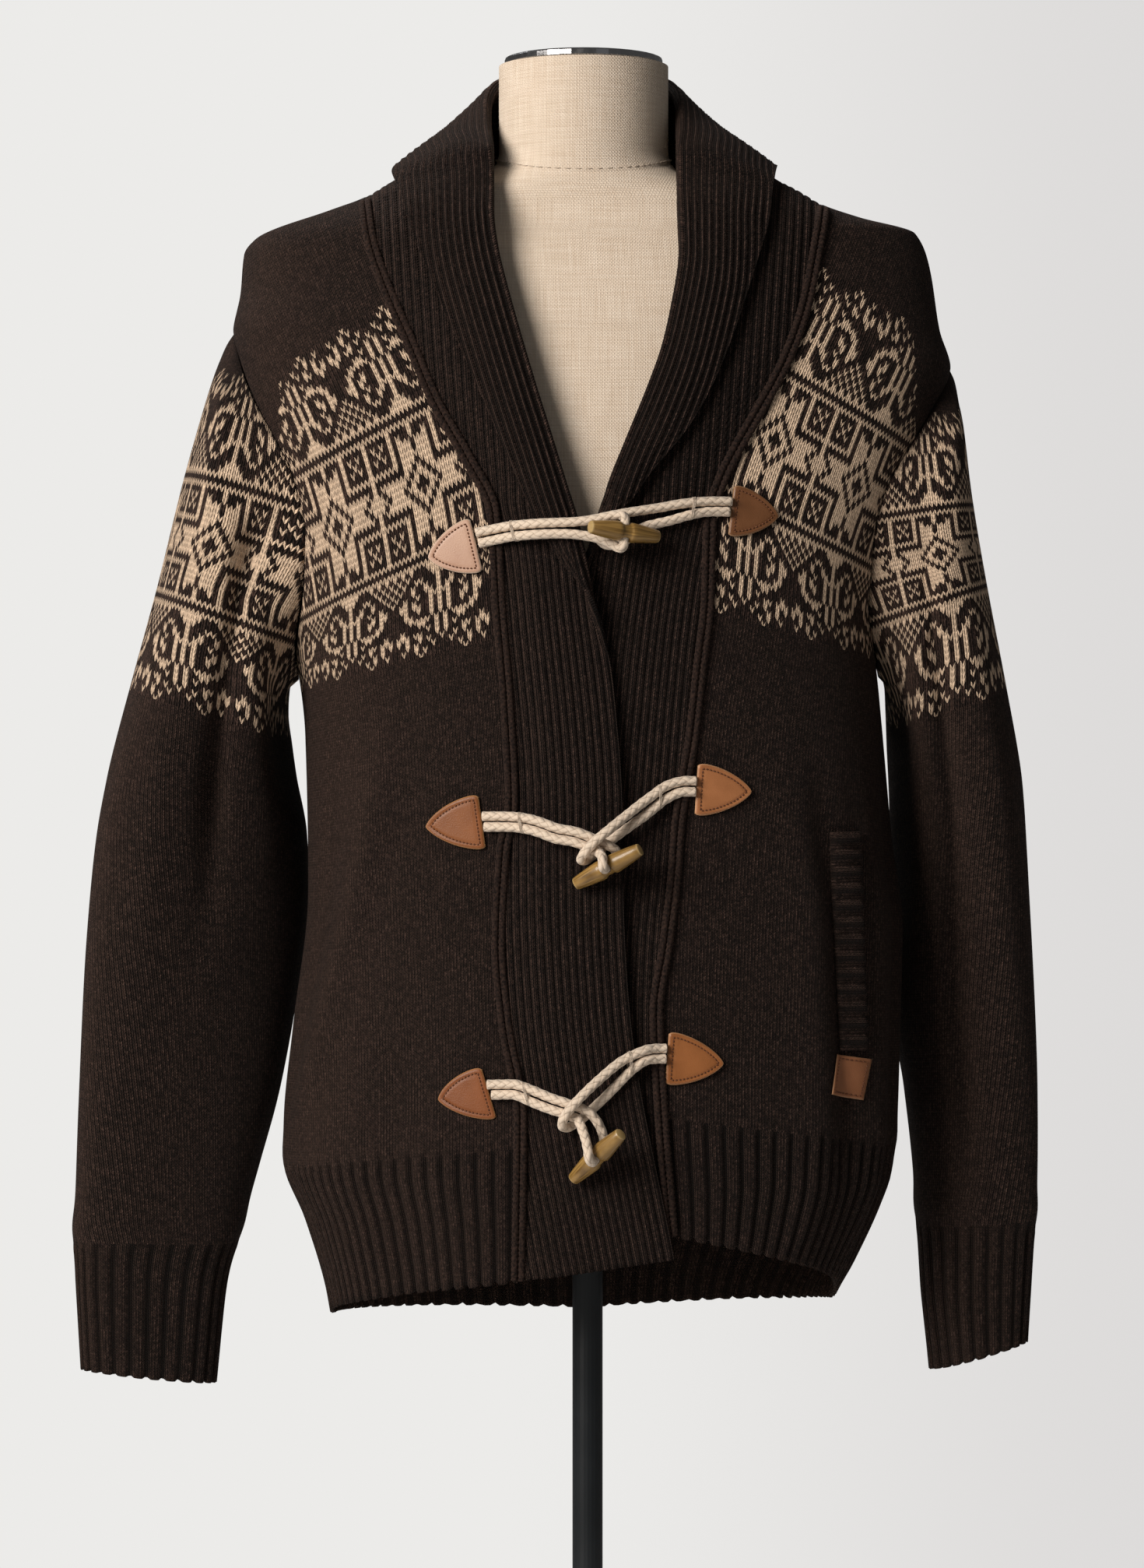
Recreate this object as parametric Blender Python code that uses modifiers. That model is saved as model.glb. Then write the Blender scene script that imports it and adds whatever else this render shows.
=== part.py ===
"""A shawl-collared cardigan in knitted wool, buttoned with cords and toggles, on a dress form.

Metres, +Z up. The origin is on the floor, under the middle of the stand's pole. The cardigan
faces -Y, and +X is its wearer's left. The cloth's outer face is worked out first, as rings round
the body or sections along the collar, and each piece is that face with its wall behind it.
"""
import math
from collections import namedtuple

import bmesh
import bpy
import numpy as np
from mathutils import Matrix, Vector

# ---------------------------------------------------------------- driving sizes
WALL = 0.0026            # thickness of the plain knit
RIB_WALL = 0.0030        # thickness of the ribbed bands and collar
SEAM_GAP = 0.0003        # between two pieces at a seam
NECK_GAP = 0.0005        # between the back's edge and the seam that sets the collar on it
REST_GAP = 0.0007        # between a panel and what is sewn on it
SQUARE = 0.055           # how far the body's rings bulge at their corners
ARMPIT, TIP = 13, 24     # courses up a panel where the armhole begins, and its top
BACK_NECK = 18           # course at which the back reaches its neckline
NECK_TURNS = TIP - BACK_NECK   # rows of the collar from a shoulder to the centre back
PANEL_COLUMNS = 9
FOLD_RADIUS = 0.0030     # of the collar's fold, to the middle of its wall
STAND, FOLDED, FALL = 5, 4, 4  # columns of the collar: up its stand, round its fold, down its fall
LIFT_WIDTH = 0.025       # a band rises off the body over this width from its seam
SELVEDGE = 0.003         # beyond the strip that folds, where the band lies flat
FALL_BULGE = 0.002       # the collar's fall stands out this much more in its middle
NECK_BULGE = 0.004       # the same round the back of the neck
EDGE_REST = 0.0015       # the fall's edge lies this far off the back
NECK_X = -0.0025         # the form's neck stands this far from the pole's axis
RIGHT, LEFT = -1, 1      # the wearer's sides

Width = namedtuple("Width", "height half")
Depth = namedtuple("Depth", "height front back")
Course = namedtuple("Course", "course seam side")
Back = namedtuple("Back", "course height")
Line = namedtuple("Line", "height x")
Armhole = namedtuple("Armhole", "course turn")
Fold = namedtuple("Fold", "turn_low low turn_high high spread rise")
Row = namedtuple("Row", "course roll edge lift turned")
Neck = namedtuple("Neck", "course out y z edge_turn edge_height")
Ring = namedtuple("Ring", "outer_x outer_y outer_z inner_x inner_y inner_z half")
Crease = namedtuple("Crease", "angle first last spread rise")

# half width of the body at each height, which is its outline from the front
WIDTHS = {
    RIGHT: (Width(0.560, 0.155), Width(0.590, 0.1617), Width(0.607, 0.165), Width(0.648, 0.177),
            Width(0.684, 0.190), Width(0.705, 0.1905), Width(0.766, 0.185), Width(0.854, 0.177),
            Width(0.950, 0.181), Width(1.015, 0.186), Width(1.060, 0.195), Width(1.116, 0.211),
            Width(1.169, 0.2215), Width(1.203, 0.223), Width(1.229, 0.218), Width(1.253, 0.2156),
            Width(1.2615, 0.2097), Width(1.279, 0.1646), Width(1.289, 0.1396), Width(1.310, 0.100)),
    LEFT: (Width(0.560, 0.143), Width(0.596, 0.1524), Width(0.621, 0.1666), Width(0.657, 0.1838),
           Width(0.677, 0.1906), Width(0.719, 0.195), Width(0.762, 0.196), Width(0.832, 0.1975),
           Width(0.888, 0.1906), Width(0.972, 0.184), Width(1.020, 0.180), Width(1.060, 0.190),
           Width(1.116, 0.210), Width(1.150, 0.222), Width(1.180, 0.2283), Width(1.205, 0.221),
           Width(1.248, 0.2140), Width(1.2655, 0.2063), Width(1.275, 0.174), Width(1.284, 0.1475),
           Width(1.310, 0.100)),
}

# depth of the body in front of and behind the side seams, which is its outline from the side
DEPTHS = (Depth(0.560, 0.106, 0.102), Depth(0.600, 0.114, 0.106), Depth(0.640, 0.121, 0.112),
          Depth(0.690, 0.129, 0.119), Depth(0.750, 0.129, 0.117), Depth(0.850, 0.127, 0.114),
          Depth(0.950, 0.128, 0.116), Depth(1.050, 0.128, 0.121), Depth(1.100, 0.123, 0.122),
          Depth(1.150, 0.114, 0.119), Depth(1.200, 0.100, 0.111), Depth(1.240, 0.084, 0.101),
          Depth(1.262, 0.073, 0.095), Depth(1.285, 0.058, 0.086), Depth(1.310, 0.046, 0.076))

# a course of knitting, at the front band's seam and at the side seam or armhole
COURSES = {
    RIGHT: (Course(0, 0.6194, 0.5880), Course(3, 0.7000, 0.6750), Course(8, 0.8800, 0.8400),
            Course(13, 1.0725, 0.9850), Course(14, 1.0935, 1.0120), Course(15, 1.1150, 1.0350),
            Course(16, 1.1370, 1.0600), Course(17, 1.1615, 1.0850), Course(18, 1.1865, 1.1090),
            Course(19, 1.2120, 1.1340), Course(20, 1.2340, 1.1570), Course(21, 1.2550, 1.1760),
            Course(22, 1.2715, 1.1900), Course(23, 1.2835, 1.1990), Course(24, 1.2890, 1.2032)),
    LEFT: (Course(0, 0.6472, 0.5980), Course(3, 0.7185, 0.6850), Course(8, 0.8920, 0.8430),
           Course(13, 1.0720, 0.9870), Course(14, 1.0950, 1.0120), Course(15, 1.1180, 1.0340),
           Course(16, 1.1410, 1.0570), Course(17, 1.1650, 1.0800), Course(18, 1.1890, 1.1010),
           Course(19, 1.2130, 1.1220), Course(20, 1.2340, 1.1400), Course(21, 1.2525, 1.1560),
           Course(22, 1.2680, 1.1685), Course(23, 1.2790, 1.1765), Course(24, 1.2841, 1.1802)),
}

# the same courses at the centre back, up to the back neckline
BACK_COURSES = (Back(0, 0.580), Back(3, 0.664), Back(8, 0.850), Back(13, 1.090), Back(18, 1.283))

# the seam between a front and its band and collar, from the hem to the shoulder
SEAMS = {
    RIGHT: (Line(0.619, -0.0423), Line(0.720, -0.0408), Line(0.775, -0.0498), Line(0.823, -0.0540),
            Line(0.880, -0.0512), Line(0.907, -0.0460), Line(0.970, -0.0488), Line(1.027, -0.0535),
            Line(1.084, -0.0573), Line(1.118, -0.0735), Line(1.152, -0.0926), Line(1.190, -0.1087),
            Line(1.226, -0.1242), Line(1.255, -0.1338), Line(1.289, -0.1396)),
    LEFT: (Line(0.647, 0.0499), Line(0.720, 0.0440), Line(0.782, 0.0410), Line(0.825, 0.0471),
           Line(0.865, 0.0518), Line(0.895, 0.0540), Line(0.950, 0.0626), Line(0.994, 0.0675),
           Line(1.027, 0.0715), Line(1.081, 0.0735), Line(1.1035, 0.0803), Line(1.123, 0.0899),
           Line(1.145, 0.1025), Line(1.178, 0.1202), Line(1.213, 0.1328), Line(1.248, 0.1403),
           Line(1.2841, 0.1475)),
}

# degrees round from the centre front (or back) to the armhole's seam, course by course
ARMHOLES = {
    RIGHT: (Armhole(13, 90), Armhole(14, 73), Armhole(15, 64), Armhole(16, 59),
            Armhole(17, 55.8), Armhole(18, 56), Armhole(19, 59.8), Armhole(20, 65.3),
            Armhole(21, 71), Armhole(22, 77), Armhole(23, 83.5), Armhole(24, 90)),
    LEFT: (Armhole(13, 90), Armhole(14, 76), Armhole(15, 69), Armhole(16, 63.7),
           Armhole(17, 60), Armhole(18, 59.3), Armhole(19, 62), Armhole(20, 66),
           Armhole(21, 71), Armhole(22, 77), Armhole(23, 83.5), Armhole(24, 90)),
}

# the front bands' free edges below the neck's opening, the collar's roll above it, and its edge
FREE_EDGES = {
    RIGHT: (Line(0.633, 0.0517), Line(0.783, 0.0249), Line(0.847, 0.0212), Line(0.914, 0.0202),
            Line(0.954, 0.0174), Line(1.0035, 0.0113), Line(1.030, 0.0019)),
    LEFT: (Line(0.647, -0.024), Line(0.780, -0.030), Line(0.900, -0.022), Line(1.000, -0.012),
           Line(1.040, -0.006), Line(1.068, 0.004)),
}
ROLLS = {
    RIGHT: (Line(1.030, 0.0019), Line(1.064, -0.0035), Line(1.0785, -0.0080), Line(1.104, -0.0148),
            Line(1.150, -0.0291), Line(1.186, -0.0400), Line(1.232, -0.0526), Line(1.264, -0.0587),
            Line(1.317, -0.0580)),
    LEFT: (Line(1.068, 0.0040), Line(1.0785, 0.0060), Line(1.099, 0.0125), Line(1.141, 0.0288),
           Line(1.177, 0.0431), Line(1.215, 0.0523), Line(1.244, 0.0565), Line(1.317, 0.0545)),
}
FALLS = {
    RIGHT: (Line(1.030, 0.0019), Line(1.046, -0.0131), Line(1.064, -0.0215), Line(1.085, -0.0342),
            Line(1.124, -0.0511), Line(1.170, -0.0711), Line(1.202, -0.0851), Line(1.233, -0.0976),
            Line(1.258, -0.1084), Line(1.293, -0.1180)),
    LEFT: (Line(1.068, 0.0040), Line(1.0804, 0.0164), Line(1.0897, 0.0258), Line(1.107, 0.0376),
           Line(1.126, 0.0541), Line(1.146, 0.0669), Line(1.177, 0.0822), Line(1.193, 0.0876),
           Line(1.232, 0.1008), Line(1.272, 0.1115), Line(1.301, 0.1130)),
}

# rows of the band and collar: the heights of its roll and edge, how far its face stands out from
# the body there, and how far it is turned over, from 0 where it lies flat to 1
ROWS = {
    RIGHT: (Row(0, 0.6334, 0.6334, 0.0045, 0.0), Row(3, 0.7090, 0.7090, 0.0045, 0.0),
            Row(8, 0.8820, 0.8820, 0.0045, 0.0), Row(11, 0.9960, 0.9960, 0.0045, 0.0),
            Row(12, 1.0300, 1.0300, 0.0045, 0.5), Row(13, 1.0700, 1.0560, 0.0050, 1.0),
            Row(16, 1.1600, 1.1400, 0.0060, 1.0), Row(19, 1.2440, 1.2240, 0.0060, 1.0),
            Row(21, 1.2840, 1.2650, 0.0050, 1.0), Row(22, 1.3010, 1.2805, 0.0050, 1.0),
            Row(23, 1.3165, 1.2925, 0.0050, 1.0)),
    LEFT: (Row(0, 0.6500, 0.6500, -0.0025, 0.0), Row(3, 0.7210, 0.7210, -0.0025, 0.0),
           Row(8, 0.8930, 0.8930, -0.0025, 0.0), Row(12, 1.0330, 1.0330, -0.0025, 0.0),
           Row(13, 1.0680, 1.0680, 0.0000, 0.5), Row(14, 1.0960, 1.0860, 0.0035, 1.0),
           Row(16, 1.1540, 1.1320, 0.0060, 1.0), Row(19, 1.2380, 1.2140, 0.0060, 1.0),
           Row(21, 1.2800, 1.2600, 0.0050, 1.0), Row(22, 1.2975, 1.2770, 0.0050, 1.0),
           Row(23, 1.3145, 1.2910, 0.0050, 1.0)),
}

# the collar round the back of the neck, from the shoulder: its roll, and where its edge lies
NECKS = (Neck(24, 0.0580, -0.014, 1.332, 90, 1.3015), Neck(25, 0.0575, 0.010, 1.350, 121, 1.295),
         Neck(26, 0.0520, 0.030, 1.362, 138, 1.286), Neck(27, 0.0410, 0.045, 1.369, 151, 1.277),
         Neck(28, 0.0280, 0.0555, 1.3725, 162, 1.2715), Neck(29, 0.0140, 0.061, 1.374, 171, 1.268),
         Neck(30, 0.0000, 0.0625, 1.3745, 180, 1.267))

# the sleeves, ring by ring below the armhole: their outer and inner points, and half their depth
SLEEVES = {
    RIGHT: (Ring(-0.2323, 0.000, 1.1817, -0.1880, 0.002, 0.9760, 0.075),
            Ring(-0.2524, 0.000, 1.1156, -0.1890, 0.010, 0.9600, 0.081),
            Ring(-0.2715, 0.000, 1.0396, -0.1870, 0.020, 0.9435, 0.079),
            Ring(-0.2857, 0.000, 0.9871, -0.1850, 0.032, 0.9240, 0.074),
            Ring(-0.3023, 0.000, 0.9234, -0.1798, 0.042, 0.8891, 0.067),
            Ring(-0.3102, 0.000, 0.8801, -0.1784, 0.046, 0.8514, 0.060),
            Ring(-0.3170, 0.002, 0.8073, -0.1847, 0.044, 0.7911, 0.048),
            Ring(-0.3205, 0.006, 0.7274, -0.1955, 0.038, 0.7274, 0.038),
            Ring(-0.3224, 0.008, 0.6784, -0.2087, 0.034, 0.6784, 0.031),
            Ring(-0.3239, 0.010, 0.6368, -0.2215, 0.030, 0.6343, 0.026),
            Ring(-0.3229, 0.010, 0.6098, -0.2293, 0.026, 0.6049, 0.022),
            Ring(-0.3190, 0.008, 0.5515, -0.2357, 0.020, 0.5422, 0.020)),
    LEFT: (Ring(0.2337, 0.000, 1.1586, 0.1875, 0.002, 0.9780, 0.075),
           Ring(0.2411, 0.000, 1.1038, 0.1885, 0.012, 0.9620, 0.080),
           Ring(0.2514, 0.000, 1.0410, 0.1895, 0.028, 0.9440, 0.078),
           Ring(0.2622, 0.002, 0.9832, 0.1910, 0.042, 0.9240, 0.073),
           Ring(0.2734, 0.004, 0.9203, 0.1930, 0.054, 0.8891, 0.066),
           Ring(0.2769, 0.006, 0.8793, 0.1945, 0.058, 0.8499, 0.060),
           Ring(0.2808, 0.008, 0.8073, 0.1936, 0.058, 0.7911, 0.052),
           Ring(0.2832, 0.010, 0.7274, 0.2004, 0.052, 0.7274, 0.044),
           Ring(0.2837, 0.010, 0.6784, 0.2048, 0.046, 0.6784, 0.038),
           Ring(0.2818, 0.010, 0.6348, 0.2092, 0.040, 0.6270, 0.032),
           Ring(0.2803, 0.010, 0.6049, 0.2122, 0.034, 0.6025, 0.027),
           Ring(0.2778, 0.008, 0.5692, 0.2176, 0.028, 0.5500, 0.024)),
}
SLEEVE_ROWS = 17

# the back and each sleeve are knitted in one, and parted here at these rows, so that the shapes
# that stand for them when things touch them follow how they curve round
Part = namedtuple("Part", "name first last")
BACK_PARTS = (Part("back_hem", 0, 3), Part("back", 3, 13), Part("back_yoke", 13, TIP))
SLEEVE_PARTS = (Part("sleeve_", 0, 7), Part("forearm_", 7, 12), Part("cuff_", 12, SLEEVE_ROWS))

SLEEVE_SQUARE = 0.05     # how far the sleeves' rings bulge at their corners

# soft folds of the body: where each runs, how far it spreads round, and how far it stands out
FOLDS = (
    Fold(42, 0.62, 46, 0.98, 6.0, 0.0025),
    Fold(62, 0.66, 60, 0.96, 4.5, 0.0035),
    Fold(73, 0.62, 76, 0.97, 5.5, -0.0040),
    Fold(-62, 0.64, -52, 0.99, 9.0, 0.0030),
    Fold(-38, 0.60, -34, 0.86, 9.0, -0.0030),
    Fold(128, 0.60, 140, 1.05, 9.0, 0.0045),
    Fold(152, 0.60, 160, 0.92, 8.0, -0.0040),
    Fold(196, 0.60, 190, 0.98, 9.0, 0.0040),
    Fold(228, 0.60, 214, 1.06, 9.0, -0.0040),
)

# soft creases of a sleeve: degrees from its outer point round by the front, and the rings they span
CREASES = {
    RIGHT: (Crease(112, 0.5, 6, 14, -0.0050), Crease(70, 1.5, 7, 16, 0.0040),
            Crease(250, 1, 7, 18, -0.0045), Crease(150, 3, 9, 14, 0.0030)),
    LEFT: (Crease(105, 1, 9, 14, -0.0045), Crease(62, 2, 8, 16, 0.0035),
           Crease(245, 1, 7, 18, -0.0045), Crease(145, 3.5, 9, 14, 0.0030)),
}


# ---------------------------------------------------------------- working out shapes
def smooth(knots, values, at):
    """A curve through a table's points that never overshoots them."""
    knots, values = np.asarray(knots, float), np.asarray(values, float)
    step = np.diff(knots)
    slope = np.diff(values) / step
    tangent = np.concatenate(([slope[0]], np.zeros(len(slope) - 1), [slope[-1]]))
    same = slope[:-1] * slope[1:] > 0
    safe = np.where(same, slope[:-1] + slope[1:], 1.0)
    tangent[1:-1] = np.where(same, 2 * slope[:-1] * slope[1:] / safe, 0.0)
    at = np.clip(at, knots[0], knots[-1])
    i = np.clip(np.searchsorted(knots, at, side="right") - 1, 0, len(step) - 1)
    u = (at - knots[i]) / step[i]
    return (values[i] * (1 + 2 * u) * (1 - u) ** 2 + values[i + 1] * (3 - 2 * u) * u ** 2
            + step[i] * (tangent[i] * u * (1 - u) ** 2 - tangent[i + 1] * u ** 2 * (1 - u)))


def look_up(table, column, at):
    """A table's column, read smoothly at a value of its first column."""
    return smooth([row[0] for row in table], [getattr(row, column) for row in table], at)


def ease(x):
    """A soft step from 0 to 1."""
    x = np.clip(x, 0.0, 1.0)
    return x * x * (3 - 2 * x)


def folds(turn, height):
    """How far the body's soft folds stand out there."""
    total = np.zeros(np.broadcast(turn, height).shape)
    for fold in FOLDS:
        way = (height - fold.low) / (fold.high - fold.low)
        middle = math.radians(fold.turn_low) + math.radians(fold.turn_high - fold.turn_low) * way
        away = np.angle(np.exp(1j * (turn - middle))) / math.radians(fold.spread)
        ends = ease((height - fold.low) / 0.06 + 0.6) * ease((fold.high - height) / 0.12)
        total = total + fold.rise * ends * np.exp(-away ** 2)
    return total


def ring(turn, height):
    """A point of the body's outer face, before it is lifted: turn runs from the centre front."""
    s, c = np.sin(turn), np.cos(turn)
    half = np.where(s < 0, look_up(WIDTHS[RIGHT], "half", height), look_up(WIDTHS[LEFT], "half", height))
    depth = np.where(c > 0, look_up(DEPTHS, "front", height), look_up(DEPTHS, "back", height))
    corner = 1 + SQUARE * np.sin(2 * turn) ** 2
    x, y, z = np.broadcast_arrays(half * s * corner, -depth * c * corner, height)
    return np.stack((x, y, z), axis=-1)


def outward(face, u, v, flip=1.0):
    """Unit normals of a face given as a function of two values."""
    d = 1e-4
    across, along = face(u + d, v) - face(u - d, v), face(u, v + d) - face(u, v - d)
    normal = np.cross(across, along) * flip
    return normal / np.maximum(np.linalg.norm(normal, axis=-1, keepdims=True), 1e-12)


def body(turn, height, lift=0.0):
    """A point of the body's outer face with its folds, moved out by lift."""
    turn, height = np.broadcast_arrays(np.asarray(turn, float), np.asarray(height, float))
    out = outward(ring, turn, height)
    return ring(turn, height) + out * np.expand_dims(folds(turn, height) + lift, -1)


def front_turn(x, height):
    """The turn at which the front of the body reaches x."""
    half = np.where(np.asarray(x) < 0, look_up(WIDTHS[RIGHT], "half", height),
                    look_up(WIDTHS[LEFT], "half", height))
    turn = np.arcsin(np.clip(x / half, -1, 1))
    for _ in range(12):
        turn = np.arcsin(np.clip(x / half / (1 + SQUARE * np.sin(2 * turn) ** 2), -1, 1))
    return turn


def on_front(x, height, lift=0.0):
    """A point of the front of the body, from its place as seen from the front."""
    return body(front_turn(x, height), height, lift)


def armhole_turn(side, course, back):
    """The turn of the armhole, or of the side seam below it."""
    turn = np.radians(look_up(ARMHOLES[side], "turn", course))
    return side * (math.pi - turn if back else turn)


def seam_turn(side, course):
    """The turn of the seam between a front and its band."""
    height = look_up(COURSES[side], "seam", course)
    x = look_up(SEAMS[side], "x", height)
    return np.where(course >= TIP, side * math.pi / 2, front_turn(x, height))


def neckline(side, step):
    """Turn and height of the back neckline, step rows round from the shoulder."""
    shoulder = look_up(COURSES[side], "seam", TIP)
    centre = look_up(BACK_COURSES, "height", BACK_NECK)
    share = np.asarray(step, float) / NECK_TURNS
    return side * (1 + share) * math.pi / 2, shoulder + (centre - shoulder) * ease(share)


def half_panel(side, back):
    """Turns and heights of one front, or of one half of the back: a row for each course."""
    course = np.arange(TIP + 1, dtype=float)[:, None]
    share = np.linspace(0, 1, PANEL_COLUMNS + 1)[None, :]
    outer_turn = armhole_turn(side, course, back)
    outer_height = look_up(COURSES[side], "side", course)
    if back:
        round_turn, round_height = neckline(side, np.clip(TIP - course, 0, NECK_TURNS))
        centre_height = look_up(BACK_COURSES, "height", course)
        inner_turn = np.where(course < BACK_NECK, side * math.pi, round_turn)
        inner_height = np.where(course < BACK_NECK, centre_height, round_height)
    else:
        inner_turn = seam_turn(side, course)
        inner_height = look_up(COURSES[side], "seam", course)
    # the shoulder runs out nearly level before it drops, so the upper rows follow it; the rows
    # below the armhole sag towards the armpit
    bend = 1 + 0.8 * ease((course - BACK_NECK) / (TIP - BACK_NECK))
    bend = np.where(course > ARMPIT, bend, 1 - 0.4 * np.clip(1 - (ARMPIT - course) / 4, 0, 1))
    turn = inner_turn + (outer_turn - inner_turn) * share
    height = inner_height + (outer_height - inner_height) * share ** bend
    return turn, height


def trimmed(points, backs, edges):
    """The same patch, held back from the seams named in edges by half the gap between pieces."""
    inner = {"first column": (np.s_[:, 0], np.s_[:, 1]), "last column": (np.s_[:, -1], np.s_[:, -2]),
             "first row": (np.s_[0], np.s_[1]), "last row": (np.s_[-1], np.s_[-2])}
    for edge in edges:
        at, beside = inner[edge]
        way = points[beside] - points[at]
        step = way / np.linalg.norm(way, axis=-1, keepdims=True) * SEAM_GAP * 0.65
        points[at] += step
        backs[at] += step
    return points, backs


def unit(vector):
    """The same way, at length 1."""
    return vector / np.maximum(np.linalg.norm(vector, axis=-1, keepdims=True), 1e-12)


def grid_normals(grid, flip=1.0):
    """Unit normals at the points of a grid."""
    return unit(np.cross(np.gradient(grid, axis=1), np.gradient(grid, axis=0)) * flip)


def stand_lift(side, course, along):
    """How far the band or the collar's stand lies off the body, along metres from its seam."""
    return float(look_up(ROWS[side], "lift", course)) * ease(along / LIFT_WIDTH)


def front_row(side, course):
    """The middle of the collar's wall in one row of the front, from its seam to its edge."""
    table, middle = ROWS[side], -RIB_WALL / 2
    turned = float(look_up(table, "turned", course))
    rolls, edges = (ROLLS, FALLS) if turned > 0.6 else (FREE_EDGES, FREE_EDGES)
    seam_z, roll_z, edge_z = (float(look_up(*at, course)) for at in
                              ((COURSES[side], "seam"), (table, "roll"), (table, "edge")))
    seam = np.array((float(look_up(SEAMS[side], "x", seam_z)), seam_z))
    roll = np.array((float(look_up(rolls[side], "x", roll_z)), roll_z))
    edge = np.array((float(look_up(edges[side], "x", edge_z)), edge_z))
    way = (roll - seam) / np.linalg.norm(roll - seam)
    turn = math.pi * turned
    length = math.pi * FOLD_RADIUS
    reach = FOLD_RADIUS / turned if turned else length + SELVEDGE
    start = roll - way * reach
    stand = [seam + (start - seam) * k / STAND for k in range(STAND + 1)]
    along = [float(np.linalg.norm(place - seam)) for place in stand]
    points = [on_front(place[0], place[1], middle + stand_lift(side, course, far))
              for place, far in zip(stand, along)]
    forward = unit(points[-1] - points[-2])
    normal = outward(ring, front_turn(*start), start[1])
    normal = unit(normal - forward * np.dot(forward, normal))
    base = points[-1]
    for k in range(1, FOLDED + 1):
        done = turn * k / FOLDED
        radius = length / turn if turn else 0.0
        flat = forward * length * k / FOLDED
        bent = (forward * math.sin(done) + normal * (1 - math.cos(done))) * radius
        points.append(base + (bent if turn else flat))
    end, heading = points[-1], forward * math.cos(turn) + normal * math.sin(turn)
    for k in range(1, FALL + 1):
        share = k / FALL
        if turned < 1:
            points.append(end + heading * SELVEDGE * share)
            continue
        place = start + (edge - start) * share
        lift = stand_lift(side, course, float(np.linalg.norm(place - seam)))
        bulge = FALL_BULGE * math.sin(math.pi * share)
        points.append(on_front(place[0], place[1], middle + lift + 2 * FOLD_RADIUS + bulge))
    return np.array(points)


def neck_row(side, course):
    """The middle of the collar's wall in one row round the back of the neck."""
    table = NECKS
    seam = body(*neckline(side, course - TIP), -RIB_WALL / 2)
    out, y, z, edge_turn, edge_height = (float(look_up(table, name, course)) for name in Neck._fields[1:])
    roll = np.array((NECK_X + side * out, y, z))
    edge = body(side * math.radians(edge_turn), edge_height, 2 * FOLD_RADIUS + EDGE_REST)
    forward = unit(roll - seam)
    away = unit(np.array((roll[0] - NECK_X, roll[1], 0.0))) + np.array((0.0, 0.0, 1.0))
    normal = unit(away - forward * np.dot(away, forward))
    base = roll - forward * FOLD_RADIUS
    points = [seam + (base - seam) * k / STAND for k in range(STAND + 1)]
    for k in range(1, FOLDED + 1):
        done = math.pi * k / FOLDED
        bent = forward * math.sin(done) + normal * (1 - math.cos(done))
        points.append(base + bent * FOLD_RADIUS)
    end = points[-1]
    fall_out = unit(np.cross(np.cross(edge - end, normal), edge - end))
    for k in range(1, FALL + 1):
        share = k / FALL
        bulge = NECK_BULGE * math.sin(math.pi * share)
        points.append(end + (edge - end) * share + fall_out * bulge)
    return np.array(points)


def collar_patch(side):
    """Both faces of one half of the band and collar, a row for each course."""
    rows = [front_row(side, c) for c in range(TIP)]
    rows += [neck_row(side, c) for c in range(TIP, TIP + NECK_TURNS + 1)]
    middle = np.array(rows)
    normals = grid_normals(middle, -side)
    course = np.arange(TIP, dtype=float)
    turn, height = seam_turn(side, course), look_up(COURSES[side], "seam", course)
    back_turn, back_height = neckline(side, np.arange(NECK_TURNS + 1))
    seam_normals = outward(ring, np.append(turn, back_turn), np.append(height, back_height))
    normals[:, 0] = seam_normals
    # both halves end square to the middle at the centre back
    normals[-1, :, 0] = 0.0
    normals[-1] = unit(normals[-1])
    return trimmed(middle + normals * RIB_WALL / 2, middle - normals * RIB_WALL / 2,
                   ("first column", "last row"))


def panel_patch(side, back):
    """Both faces of a front, or of one half of the back."""
    turn, height = half_panel(side, back)
    points, backs = body(turn, height), body(turn, height, -WALL)
    if not back:
        return trimmed(points, backs, ("first column", "last column", "last row"))
    points, backs = trimmed(points, backs, ("last column", "last row"))
    for face in (points, backs):
        way = face[BACK_NECK:, 1] - face[BACK_NECK:, 0]
        way[0] = face[BACK_NECK - 1, 0] - face[BACK_NECK, 0]
        face[BACK_NECK:, 0] += unit(way) * NECK_GAP
    return points, backs


def section(patch, first, last):
    """Some rows of a patch, held back where it is parted from its other rows."""
    points, backs = (face[first:last + 1].copy() for face in patch)
    parted = (("first row", first > 0), ("last row", last < len(patch[0]) - 1))
    return trimmed(points, backs, [edge for edge, is_parted in parted if is_parted])


def armhole_loop(side):
    """The armhole's seam from its top, down the front to the armpit and up the back."""
    front = np.arange(TIP, ARMPIT - 1, -1, dtype=float)
    behind = np.arange(ARMPIT + 1, TIP + 1, dtype=float)
    course = np.append(front, behind)
    turn = np.append(armhole_turn(side, front, False), armhole_turn(side, behind, True))
    height = look_up(COURSES[side], "side", course)
    points = body(turn, height)
    centre = points[:-1].mean(axis=0)
    away = unit(centre - points) + outward(ring, turn, height)
    return points + away * SEAM_GAP * 0.65


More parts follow.
